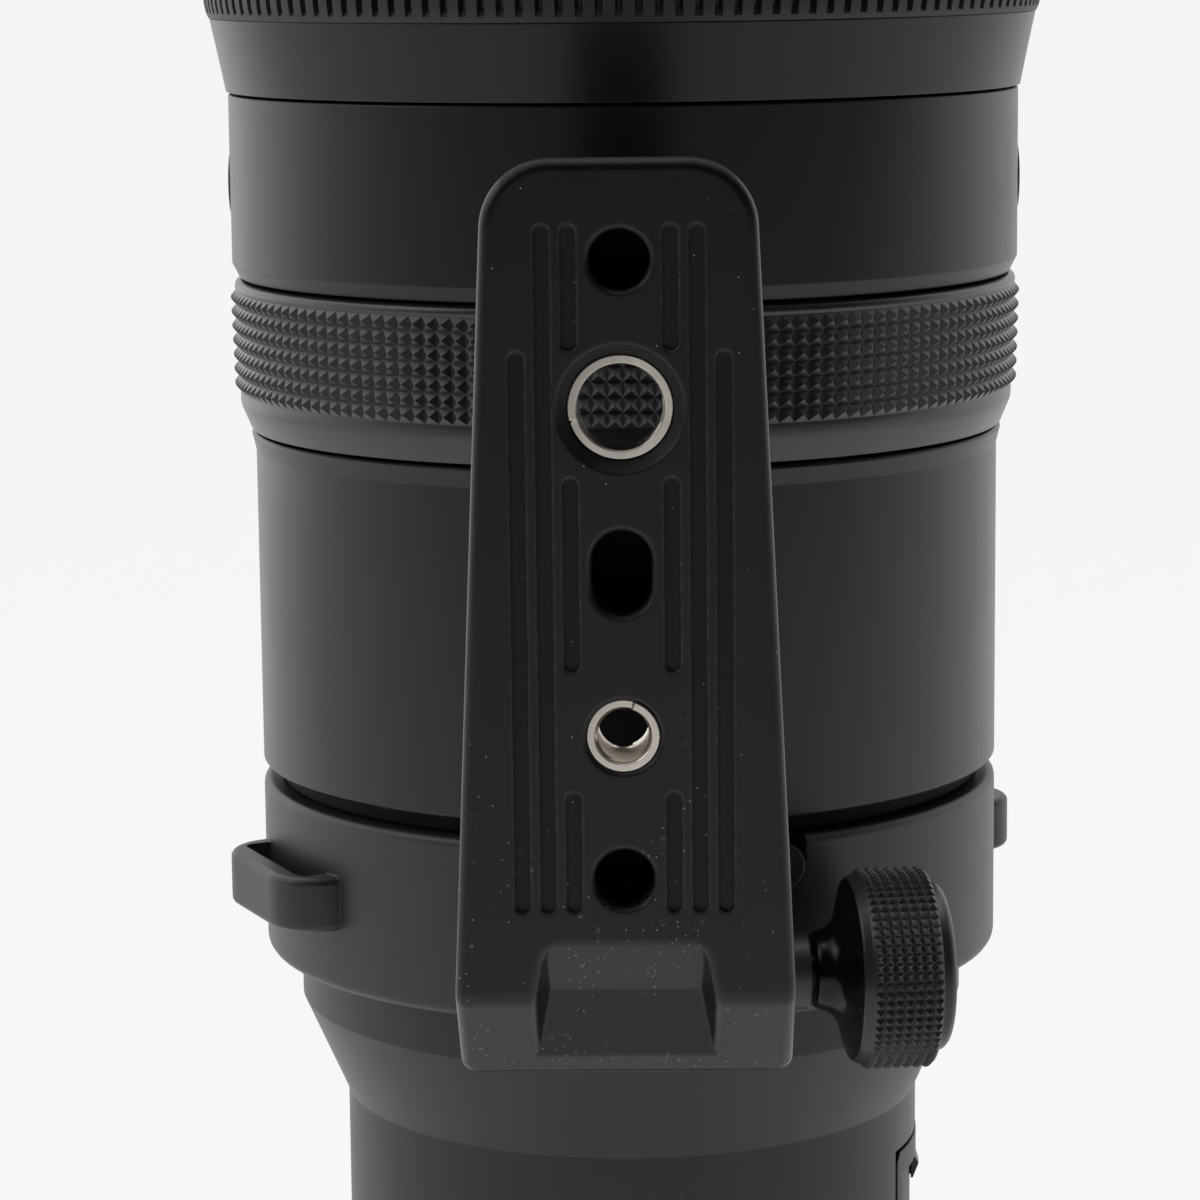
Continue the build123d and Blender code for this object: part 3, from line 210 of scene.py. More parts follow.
class Paint(Graph):
    """Node tree of one material."""

    def __init__(self, name):
        self.material = bpy.data.materials.new(name)
        self.material.use_nodes = True
        super().__init__(self.material.node_tree, "Object")

    def noise(self, size, detail=2.0, stretch=EVEN, rough=0.5):
        """Cloudy value from 0 to 1 whose patches are about the given size in metres."""
        place = self.node("ShaderNodeMapping", {"vector_type": "POINT"},
                          {"Vector": self.place, "Scale": stretch})
        return self.node("ShaderNodeTexNoise", {"noise_dimensions": "3D"},
                         {"Vector": place, "Scale": 1.0 / size, "Detail": detail, "Roughness": rough})

    def specks(self, spacing, radius, share):
        """1 inside small round specks that lie in a share of the cells of a grid."""
        cell = {"Vector": self.place, "Scale": 1.0 / spacing}
        near = self.node("ShaderNodeTexVoronoi", {"feature": "F1"}, cell, "Distance")
        chance = self.node("ShaderNodeTexVoronoi", {"feature": "F1"}, cell, "Color")
        picked = self.node("ShaderNodeSeparateColor", {}, {"Color": chance}, "Red")
        return (near < radius / spacing) * (picked < share)

    def mix(self, share, first, second):
        """Colour between two colours."""
        return self.node("ShaderNodeMix", {"data_type": "RGBA"}, {0: share, 6: first, 7: second}, 2)

    def edges(self, width):
        """Value that rises to 1 at the solid's edges, and the normal rounded over them."""
        bend_start, bend_end = 0.01, 0.2
        soft = self.node("ShaderNodeBevel", {"samples": 6}, {"Radius": width})
        flat = self.node("ShaderNodeNewGeometry", output="Normal")
        along = self.node("ShaderNodeVectorMath", {"operation": "DOT_PRODUCT"}, {0: soft, 1: flat}, "Value")
        return (1.0 - along).ramp(bend_start, bend_end), soft

    def surface(self, colour, roughness, height=None, depth=0.0, normal=None, **fixed):
        """Ends the material in one shader; height is a bump of the given depth in metres."""
        inputs = {"Base Color": colour, "Roughness": roughness}
        inputs.update({key.replace("_", " "): value for key, value in fixed.items()})
        if height is not None:
            bump = {"Height": height, "Distance": depth, "Strength": 1.0}
            if normal is not None:
                bump["Normal"] = normal
            normal = self.node("ShaderNodeBump", {}, bump)
        if normal is not None:
            inputs["Normal"] = normal
        shader = self.node("ShaderNodeBsdfPrincipled", {"distribution": "MULTI_GGX"}, inputs)
        self.node("ShaderNodeOutputMaterial", {}, {"Surface": shader})
        return self.material


def rgba(colour):
    return (*colour, 1.0)


def scaled(colour, factor):
    """A colour made lighter or darker, kept within white."""
    return rgba([min(1.0, factor * channel) for channel in colour])


def grey(level):
    return (level, level, level, 1.0)


def black_finish(name, colour, roughness, grain=0.00025, depth=0.000006, edge_width=0.0003, edge_share=0.5,
                 dust_share=0.02, specular=0.5, shade_and_marks=None):
    """Black paint or moulded plastic: fine grain, faint wipes, lighter edges (wear and painted highlight), a
    little dust.

    shade_and_marks takes the paint, its colour and its roughness and gives both back with a piece's painted
    shade and dust.
    """
    patch_size, wipe_size, edge_patch_size = 0.018, 0.006, 0.0012
    wiped_lengthwise = (1.0, 1.0, 0.25)
    darkest, lightest, contrast = 0.82, 1.18, 0.5
    edge_patch_start, edge_patch_full = 0.35, 0.75
    dust_spacing, dust_radius, dust_cover = 0.0021, 0.00009, 0.6
    patch_gloss, wipe_gloss, grain_gloss = 0.1, 0.05, 0.06
    looks = bpy.context.scene.lens_finishes
    paint = Paint(name)
    fine = paint.noise(grain)
    patches = paint.noise(patch_size, detail=4.0)
    wiped = paint.noise(wipe_size, detail=3.0, stretch=wiped_lengthwise)
    edge, soft = paint.edges(edge_width)
    # Edges lighten towards the edge grey in noisy patches: partly worn paint, partly a painted highlight
    # where edges catch light.
    worn_and_lit = edge * paint.noise(edge_patch_size, detail=4.0).ramp(edge_patch_start, edge_patch_full) * edge_share
    tone = paint.mix((patches - 0.5) * contrast + 0.5, scaled(colour, darkest), scaled(colour, lightest))
    tone = paint.mix(worn_and_lit, tone, rgba(looks.edge))
    dust = paint.specks(dust_spacing, dust_radius, dust_share)
    tone = paint.mix(dust * dust_cover, tone, rgba(looks.dust))
    gloss = roughness + (patches - 0.5) * patch_gloss + (wiped - 0.5) * wipe_gloss
    gloss = gloss + (fine - 0.5) * grain_gloss
    if shade_and_marks is not None:
        tone, gloss = shade_and_marks(paint, tone, gloss)
    return paint.surface(tone, gloss, fine, depth, soft, Specular_IOR_Level=specular)


def foot_shade_and_dust(paint, tone, gloss):
    """Painted shade that darkens the grooves and holes in the foot's face, and dust that gathers near its
    lower end.
    """
    rows_low, rows_high, rows_fade = 0.1165, 0.2015, 0.001
    groove_half, groove_fade = 0.0125, 0.0003
    hole_half, hole_side_fade = 0.0035, 0.0002
    face = FOOT_FACE * MM
    groove_start, groove_full = face + 0.00008, face + 0.0003
    hole_start, hole_full, hole_fade, hole_end = face + 0.0006, face + 0.0025, face + 0.0089, face + 0.0093
    # Near-black colours of painted shade for the grooves and for the holes' insides.
    groove_shade, hole_shade = grey(0.0006), grey(0.0003)
    groove_share, hole_share = 0.6, 0.9
    groove_dullness, hole_dullness = 0.25, 0.4
    dust_low, dust_high, dust_most, dust_drop = 0.108, 0.15, 0.9, 0.82
    cluster_size, cluster_start, cluster_full = 0.007, 0.42, 0.62
    fibre_size, fibre_start, fibre_full, fibre_rough = 0.0011, 0.62, 0.68, 0.75
    lint_size, lint_start, lint_full, lint_cover = 0.003, 0.5, 0.6, 0.5
    speck_spacing, speck_radius, speck_cover = 0.0008, 0.00009, 0.95
    looks = bpy.context.scene.lens_finishes
    across, out, up = paint.axis("X"), paint.axis("Y"), paint.axis("Z")
    aside = across.math("ABSOLUTE", across)
    rows = up.ramp(rows_low, rows_low + rows_fade) * (1.0 - up.ramp(rows_high, rows_high + rows_fade))
    grooves = out.ramp(groove_start, groove_full) * rows
    grooves = grooves * (1.0 - aside.ramp(groove_half, groove_half + groove_fade))
    holes = out.ramp(hole_start, hole_full) * (1.0 - out.ramp(hole_fade, hole_end)) * rows
    holes = holes * (1.0 - aside.ramp(hole_half, hole_half + hole_side_fade))
    # Painted shade: the grooves, and the holes deeper than their rims, are mixed towards near-black.
    tone = paint.mix(grooves * groove_share, tone, groove_shade)
    tone = paint.mix(holes * hole_share, tone, hole_shade)
    gloss = gloss + grooves * groove_dullness + holes * hole_dullness
    cluster = paint.noise(cluster_size).ramp(cluster_start, cluster_full)
    cluster = cluster * (dust_most - up.ramp(dust_low, dust_high) * dust_drop)
    fibres = paint.noise(fibre_size, detail=3.0, rough=fibre_rough).ramp(fibre_start, fibre_full)
    lint = fibres * paint.noise(lint_size, detail=1.0).ramp(lint_start, lint_full)
    specks = paint.specks(speck_spacing, speck_radius, cluster)
    tone = paint.mix(specks * speck_cover, tone, rgba(looks.dust))
    return paint.mix(lint * cluster * lint_cover, tone, rgba(looks.dust)), gloss


def metal_finish(name, colour, roughness, metallic=1.0):
    """Bare or plated metal with fine turning marks and a stained, uneven gloss."""
    stain_size, line_size, edge_width = 0.004, 0.00012, 0.00012
    lines_stretch = (1.0, 0.08, 1.0)
    stain_tone, edge_tone = 0.72, 1.3
    stain_start, stain_full, stain_share, edge_share = 0.35, 0.8, 0.5, 0.35
    stain_gloss, line_gloss, line_depth = 0.14, 0.1, 0.000003
    paint = Paint(name)
    stain = paint.noise(stain_size, detail=4.0)
    lines = paint.noise(line_size, stretch=lines_stretch)
    edge, soft = paint.edges(edge_width)
    stained = stain.ramp(stain_start, stain_full) * stain_share
    tone = paint.mix(stained, rgba(colour), scaled(colour, stain_tone))
    tone = paint.mix(edge * edge_share, tone, scaled(colour, edge_tone))
    gloss = roughness + (stain - 0.5) * stain_gloss + (lines - 0.5) * line_gloss
    return paint.surface(tone, gloss, lines, line_depth, soft, Metallic=metallic)


def glass_finish(name, looks):
    """Coated optical glass with a breath of dust."""
    haze_size, haze_start, haze_full = 0.012, 0.5, 0.9
    haze_share, polish, haze_dullness = 0.1, 0.02, 0.03
    paint = Paint(name)
    haze = paint.noise(haze_size, detail=4.0).ramp(haze_start, haze_full)
    tone = paint.mix(haze * haze_share, rgba(looks.glass), rgba(looks.dust))
    return paint.surface(tone, polish + haze * haze_dullness, IOR=1.6, Transmission_Weight=0.9,
                         Coat_Weight=0.7, Coat_Roughness=0.03, Coat_Tint=rgba(looks.coating))


def board_finish(name, looks):
    """Lacquered circuit board with faint tracks."""
    tracks_per_metre, track_width, track_share, track_depth = 160.0, 0.03, 0.6, 0.00002
    lacquer, patch_size, patch_gloss = 0.35, 0.004, 0.15
    paint = Paint(name)
    tracks = paint.node("ShaderNodeTexBrick", {"offset": 0.5},
                        {"Vector": paint.place, "Scale": tracks_per_metre, "Mortar Size": track_width}, "Fac")
    tone = paint.mix(tracks * track_share, rgba(looks.board), rgba(looks.contact))
    gloss = lacquer + paint.noise(patch_size, detail=3.0) * patch_gloss
    return paint.surface(tone, gloss, tracks, track_depth)


def dress(material, *nodes):
    """Gives CAD nodes their material."""
    for node in nodes:
        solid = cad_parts[node]
        solid.data.materials.clear()
        solid.data.materials.append(material)


# Shapes in mesh code, in millimetres about the lens axis


def radius_of(point):
    return (point[0] ** 2 + point[1] ** 2) ** 0.5


def soften(profile, steps=3):
    """Rounds the corners of an open profile of (radius, height, rounding) points."""
    longest_share = 0.48
    points = []
    for place, (radius, height, size) in enumerate(profile):
        corner = Vector((radius, height))
        if size == 0 or place in (0, len(profile) - 1):
            points.append(corner)
            continue
        before = Vector(profile[place - 1][:2]) - corner
        after = Vector(profile[place + 1][:2]) - corner
        cut = min(size, longest_share * before.length, longest_share * after.length)
        start, end = corner + before.normalized() * cut, corner + after.normalized() * cut
        for step in range(steps + 1):
            t = step / steps
            points.append(start * (1 - t) ** 2 + corner * (2 * t * (1 - t)) + end * t**2)
    return points


def make_piece(name, vertices, faces, place=None, sharp=28.0):
    """Mesh object from points in millimetres, moved to its place and shaded smooth but for sharp edges."""
    weld = 1e-7
    place = place or Matrix.Identity(4)
    points = [(place @ Vector(point)) * MM for point in vertices]
    mesh = bpy.data.meshes.new(name)
    mesh.from_pydata(points, [], faces)
    work = bmesh.new()
    work.from_mesh(mesh)
    bmesh.ops.remove_doubles(work, verts=work.verts, dist=weld)
    bmesh.ops.dissolve_degenerate(work, edges=work.edges, dist=weld)
    bmesh.ops.recalc_face_normals(work, faces=work.faces)
    work.to_mesh(mesh)
    work.free()
    mesh.shade_smooth()
    mesh.set_sharp_from_angle(angle=radians(sharp))
    piece = bpy.data.objects.new(name, mesh)
    bpy.context.scene.collection.objects.link(piece)
    return piece


def ring_of(radius, height, columns, shift=0.0):
    """Points of one ring about the axis, counted from the foot's side."""
    turns = [2 * pi / columns * (n + shift) for n in range(columns)]
    return [(radius * sin(turn), -radius * cos(turn), height) for turn in turns]


def skin(rings, columns, closed=False):
    """Points and quads that join rings of equal count one after another."""
    points = [point for ring in rings for point in ring]
    faces = []
    last = len(rings) if closed else len(rings) - 1
    for row in range(last):
        low, high = row * columns, (row + 1) % len(rings) * columns
        for n in range(columns):
            m = (n + 1) % columns
            faces.append((low + n, low + m, high + m, high + n))
    return points, faces


def turned(profile, columns):
    """Skin of a profile of (radius, height) points turned about the axis."""
    return skin([ring_of(radius, height, columns) for radius, height in profile], columns)


def row_borders(start, end, rows):
    """The (radius, height) of the borders of equal rows between two places on a profile."""
    return [(start[0] + (end[0] - start[0]) * n / rows, start[1] + (end[1] - start[1]) * n / rows)
            for n in range(rows + 1)]


def studs(borders, columns, rise):
    """Points and triangles of rows of pyramids between the rows' borders."""
    rows = len(borders) - 1
    points = []
    for radius, height in borders:
        points += ring_of(radius, height, columns)
    first_tip = len(points)
    for (low_radius, low), (high_radius, high) in zip(borders, borders[1:]):
        points += ring_of((low_radius + high_radius) / 2 + rise, (low + high) / 2, columns, 0.5)
    faces = []
    for row in range(rows):
        for n in range(columns):
            m = (n + 1) % columns
            low, high = row * columns, (row + 1) * columns
            tip = first_tip + row * columns + n
            square = (low + n, low + m, high + m, high + n)
            faces += [(square[k], square[(k + 1) % 4], tip) for k in range(4)]
    return points, faces


def join(*parts):
    """One list of points and faces from several."""
    points, faces = [], []
    for more_points, more_faces in parts:
        start = len(points)
        points += more_points
        faces += [tuple(start + n for n in face) for face in more_faces]
    return points, faces


def insert_shape(flange, body, opening, crest, root, pitch, low, high, steps=96):
    """Threaded sleeve about local Z, which runs into the foot; its rim climbs round to the wire's end."""
    rim_rise, seat, rim = 0.55, 0.8, 0.14 * (flange - opening)
    turns = int((high - low) / pitch) + 2
    rings = []
    for step in range(steps):
        share = step / steps
        turn = 2 * pi * share
        front = low + rim_rise * share
        profile = [(body, high), (body, low + seat), (flange, low + seat), (flange, front + rim),
                   (flange - rim, front), (opening + rim, front), (opening, front + rim)]
        lead = len(profile)
        for half in range(2 * turns + 1):
            depth = low + seat + pitch * (half / 2 - 1 + share)
            inside = low + seat < depth < high
            radius = (crest if half % 2 else root) if inside else opening
            profile.append((radius, min(max(depth, low + seat), high)))
        profile.append((root, high))
        rings.append([(r * cos(turn), r * sin(turn), z) for r, z in profile])
    count = len(rings[0])
    points, faces = skin(rings, count)
    last = (steps - 1) * count
    for n in range(count):
        m = (n + 1) % count
        # After a full turn each point of the thread meets the one that lies two further in.
        n_on, m_on = (min(k + 2, count - 1) if lead <= k < count - 1 else k for k in (n, m))
        corners = tuple(dict.fromkeys((last + n, last + m, m_on, n_on)))
        if len(corners) > 2:
            faces.append(corners)
    return points, faces


class PieceOperator(bpy.types.Operator):
    """Adds one group of the lens"""

    bl_options = {"REGISTER", "UNDO"}

    @property
    def looks(self):
        return bpy.context.scene.lens_finishes

    @property
    def sizes(self):
        return bpy.context.scene.lens_sizes


class LENS_OT_focus_ring(PieceOperator):
    """Focus ring with its rows of small pyramids"""

    bl_idname = "lens.focus_ring"
    bl_label = "Focus Ring"

    def execute(self, context):
        columns = self.sizes.focus_columns
        bore, seam = 46.35, 170.0
        rear, front = 162.25, 181.55
        chamfer_start, rear_land, front_land = 48.9, 50.25, 50.75
        rows_start, rows_end = (50.2, 167.15), (50.55, 180.1)
        borders = row_borders(rows_start, rows_end, self.sizes.focus_rows)
        leading = soften([(bore, seam, 0), (bore, rear, 0.2), (chamfer_start, rear, 0.25),
                          (rear_land, 165.5, 0.5), (rear_land, 166.6, 0.2), (*rows_start, 0)])
        trailing = soften([(*rows_end, 0), (front_land, 180.5, 0.2), (front_land - 0.15, 181.2, 0.25),
                           (49.9, front, 0.2), (bore, front, 0.2), (bore, seam, 0)])
        shape = join(turned(leading, columns), studs(borders, columns, self.sizes.focus_stud),
                     turned(trailing, columns))
        ring = make_piece("focus_ring_knurled", *shape)
        rubber = black_finish("knurled_rubber", self.looks.grip, roughness=0.3, grain=0.0004,
                              edge_width=0.0001, edge_share=0.25, dust_share=0.03, specular=0.7)
        ring.data.materials.append(rubber)
        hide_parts("focus_ring")
        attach(ring, "focus_control")
        return {"FINISHED"}


class LENS_OT_zoom_grip(PieceOperator):
    """Ribbed rubber sleeve of the zoom ring"""

    bl_idname = "lens.zoom_grip"
    bl_label = "Zoom Grip"

    def execute(self, context):
        ribs, valley = self.sizes.grip_ribs, self.sizes.grip_valley
        low, high = (point.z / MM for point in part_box("zoom_grip"))
        crest, bore, inset = 54.05, 51.6, 0.05
        plain_stations = ((low + inset, 53.2), (low + 0.7, 53.5))
        ribbed_stations = ((low + 1.9, 53.75), (low + 4.5, 53.95), (low + 8.0, crest), (high - 2.0, crest))
        front_stations = ((high - 0.8, crest), (high - inset, crest - 0.2))
        # Share of a rib's pitch and depth of each point: the crest, then both sides of the valley.
        rib_shares = ((0.0, 0.0), (0.29, 0.0), (0.4, valley), (0.6, valley), (0.71, 0.0))
        plain_shares = ((0.0, 0.0), (0.29, 0.0), (0.29, 0.0), (0.71, 0.0), (0.71, 0.0))
        rings = []
        for stations, shares in ((plain_stations, plain_shares), (ribbed_stations, rib_shares),
                                 (front_stations, plain_shares)):
            for height, radius in stations:
                ring = []
                for n in range(ribs):
                    for share, depth in shares:
                        turn = 2 * pi * (n + share - 0.5) / ribs
                        ring.append(((radius - depth) * sin(turn), -(radius - depth) * cos(turn), height))
                rings.append(ring)
        columns = len(rib_shares) * ribs
        inside = [[(bore / radius_of(p) * p[0], bore / radius_of(p) * p[1], z) for p in rings[0]]
                  for z in (high - inset, low + inset)]
        grip = make_piece("zoom_grip_ribbed", *skin(rings + inside, columns, closed=True), sharp=24.0)
        rubber = black_finish("ribbed_rubber", self.looks.grip, roughness=0.5, grain=0.0003,
                              edge_width=0.00015, edge_share=0.2, dust_share=0.06)
        grip.data.materials.append(rubber)
        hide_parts("zoom_grip")
        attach(grip, "zoom_control")
        return {"FINISHED"}


def screw_place():
    """Place of the clamp screw: local Z runs along it towards the knob."""
    azimuth, reach, height = 7.6, -59.3, 102.45
    turn = Matrix.Rotation(radians(azimuth), 4, "Z")
    return turn @ Matrix.Translation((0, reach, height)) @ Matrix.Rotation(radians(90), 4, "Y")


class LENS_OT_clamp_knob(PieceOperator):
    """Clamp knob with its flared neck and knurled rim"""

    bl_idname = "lens.clamp_knob"
    bl_label = "Clamp Knob"

    def execute(self, context):
        columns = self.sizes.knob_columns
        start, rim_low, rim_length = 14.4, 19.9, 8.2
        rim_high = rim_low + rim_length
        neck, flare, root, drum, end_disc = 4.4, 10.85, 11.6, 11.2, 10.1
        borders = row_borders((root, rim_low), (root, rim_high), self.sizes.knob_rows)
        leading = soften([(0, start, 0), (neck, start, 0.1), (4.65, start + 0.4, 0.2),
                          (5.1, start + 1.8, 0.7), (6.1, start + 2.8, 0.8), (8.2, start + 3.6, 0.9),
                          (flare, start + 4.3, 0.08), (11.1, start + 4.5, 0.1),
                          (11.5, rim_low - 0.1, 0.05), (root, rim_low, 0)], 4)
        trailing = soften([(root, rim_high, 0), (drum, rim_high + 0.1, 0.1),
                           (end_disc, rim_high + 0.12, 0.1), (end_disc, rim_high + 1.3, 0.4),
                           (9.4, rim_high + 1.95, 0.4), (5.6, rim_high + 2.6, 1.5),
                           (0, rim_high + 2.95, 0)], 4)
        shape = join(turned(leading, columns), studs(borders, columns, self.sizes.knob_stud),
                     turned(trailing, columns))
        knob = make_piece("clamp_knob_knurled", *shape, place=screw_place())
        # The knob shares the collar's black, lightened partly as painted light.
        black = black_finish("knob_black", self.looks.collar_paint_and_light, roughness=0.36, grain=0.0003,
                             edge_width=0.0001, edge_share=0.35)
        # Glossier neck in the foot's darker black: the darker colour is painted shade from the dark foot the
        # flare faces.
        neck_shaded_black = black_finish("knob_neck_shaded_black", self.looks.foot_paint, roughness=0.22, specular=0.25)
        knob.data.materials.append(black)
        knob.data.materials.append(neck_shaded_black)
        # Faces of the flared neck below the rim take the darker, painted-shade material.
        out = screw_place().inverted()
        for face in knob.data.polygons:
            spot = out @ (face.center / MM)
            face.material_index = int(radius_of(spot) < flare and spot.z < rim_low)
        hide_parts("clamp_knob")
        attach(knob, "clamp")
        return {"FINISHED"}


class LENS_OT_thread_inserts(PieceOperator):
    """Thread inserts of the tripod foot"""

    bl_idname = "lens.thread_inserts"
    bl_label = "Thread Inserts"

    def execute(self, context):
        wire = metal_finish("insert_wire", self.looks.wire, roughness=0.24)
        self.insert(wire, "large", centre=174.7, clock=166.0, flange=5.8, body=5.79, opening=4.72,
                    crest=4.62, root=4.82, pitch=self.sizes.large_pitch, low=1.0, high=6.0)
        self.insert(wire, "small", centre=138.7, clock=-70.0, flange=4.05, body=4.0, opening=3.1,
                    crest=2.82, root=3.2, pitch=self.sizes.small_pitch, low=0.05, high=9.6)
        return {"FINISHED"}

    def insert(self, wire, size, centre, clock, **shape):
        """One insert, sunk into the foot's face at a height, with the wire's end turned to a clock angle."""
        into = Matrix.Translation((0, FOOT_FACE, centre)) @ Matrix.Rotation(radians(-90), 4, "X")
        into = into @ Matrix.Rotation(radians(clock), 4, "Z")
        insert = make_piece(f"{size}_insert_wire", *insert_shape(**shape), place=into, sharp=30.0)
        insert.data.materials.append(wire)
        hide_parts(f"{size}_thread_insert")
        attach(insert, "collar")


class LENS_OT_barrels(PieceOperator):
    """Finish of the outer barrels and the zoom ring"""

    bl_idname = "lens.barrels"
    bl_label = "Barrels"

    def execute(self, context):
        satin = black_finish("barrel_satin", self.looks.paint, self.looks.paint_roughness)
        dress(satin, "middle_barrel")
        dark = black_finish("sleeve_satin", self.looks.paint, self.looks.paint_roughness, specular=0.4)
        dress(dark, "front_sleeve", "front_barrel", "zoom_ring")
        # Lighter copy of the barrel black: partly its own finish, partly painted light for the lower half.
        rear = black_finish("rear_satin", self.looks.rear_paint_and_light, roughness=0.4, dust_share=0.01)
        dress(rear, "rear_barrel")
        return {"FINISHED"}


class LENS_OT_tripod_foot(PieceOperator):
    """Finish of the tripod collar, its foot and stop pin"""

    bl_idname = "lens.tripod_foot"
    bl_label = "Tripod Foot"

    def execute(self, context):
        # The foot's paint gets painted shade in its grooves and holes; its wide, strong edges are partly a
        # painted highlight.
        foot = black_finish("foot_black", self.looks.foot_paint, roughness=0.31, edge_width=0.0006,
                            edge_share=0.6, dust_share=0.06, specular=0.42, shade_and_marks=foot_shade_and_dust)
        dress(foot, "tripod_foot")
        # The collar's black is partly its own finish and partly painted light.
        collar = black_finish("collar_black", self.looks.collar_paint_and_light, roughness=0.4, depth=0.00001,
                              edge_width=0.0004, edge_share=0.4, dust_share=0.03)
        dress(collar, "tripod_collar", "collar_stop_pin")
        dress(metal_finish("screw_steel", self.looks.mount, roughness=0.3), "foot_screws")
        dress(metal_finish("stud_black", self.looks.anodised, roughness=0.4), "clamp_stud")
        return {"FINISHED"}


class LENS_OT_mount_end(PieceOperator):
    """Finish of the bayonet, its gasket, contacts and baffle"""

    bl_idname = "lens.mount_end"
    bl_label = "Mount End"

    def execute(self, context):
        plated = metal_finish("mount_plated", self.looks.mount, roughness=0.24)
        dress(plated, "mount_flange", "mount_screws")
        dress(metal_finish("contact_gold", self.looks.contact, roughness=0.2), "contact_pins")
        dress(black_finish("moulded_black", self.looks.plastic, roughness=0.5, grain=0.0005),
              "contact_block", "rear_baffle")
        dress(black_finish("gasket_rubber", self.looks.grip, roughness=0.6), "mount_gasket")
        return {"FINISHED"}


class LENS_OT_controls(PieceOperator):
    """Finish of the switch panel, switches and focus buttons"""

    bl_idname = "lens.controls"
    bl_label = "Switches and Buttons"

    def execute(self, context):
        dress(black_finish("panel_black", self.looks.plastic, roughness=0.45, grain=0.0004), "switch_panel")
        dress(black_finish("switch_black", self.looks.plastic, roughness=0.36),
              "switch_1", "switch_2", "switch_3")
        dress(black_finish("button_rubber", self.looks.grip, roughness=0.45),
              "focus_button_1", "focus_button_2", "focus_button_3", "focus_button_4")
        return {"FINISHED"}


class LENS_OT_optics(PieceOperator):
    """Finish of the lens elements and the cells that hold them"""

    bl_idname = "lens.optics"
    bl_label = "Glass and Cells"

    def execute(self, context):
        dress(glass_finish("coated_glass", self.looks), "front_element", "second_element",
              "variator_element", "compensator_element", "focus_element", "stabiliser_element",
              "rear_element", "rear_field_element")
        inner = metal_finish("anodised_inner", self.looks.anodised, roughness=0.5, metallic=0.3)
        dress(black_finish("tube_black", self.looks.foot_paint, roughness=0.7, specular=0.15), "main_tube")
        dress(inner, "cam_tube", "guide_tube", "variator_cell", "compensator_cell", "focus_base",
              "inner_bulkhead", "front_cell", "front_spacer", "rear_group_cell", "stabiliser_frame")
        dress(black_finish("filter_ring_black", self.looks.paint, roughness=0.5), "filter_ring")
        dress(black_finish("inner_plastic", self.looks.plastic, roughness=0.55), "focus_cell", "iris_housing",
              "iris_drive_ring", "stabiliser_base", "stabiliser_cell", "focus_motor")
        dress(metal_finish("ground_steel", self.looks.mount, roughness=0.22), "focus_guide_rods",
              "focus_lead_screw", "zoom_keys", "iris_blades")
        dress(board_finish("board_green", self.looks), "main_board")
        return {"FINISHED"}


def soft_box(name, power, side, place):
    """Square studio lamp that points at the lens."""
    aim = Vector((0, 0, 0.15))
    lamp = bpy.data.lights.new(name, "AREA")
    lamp.energy, lamp.shape, lamp.size, lamp.size_y = power, "RECTANGLE", side, side
    body = bpy.data.objects.new(name, lamp)
    body.location = place
    body.rotation_mode = "QUATERNION"
    body.rotation_quaternion = (aim - Vector(place)).to_track_quat("-Z", "Y")
    bpy.context.scene.collection.objects.link(body)


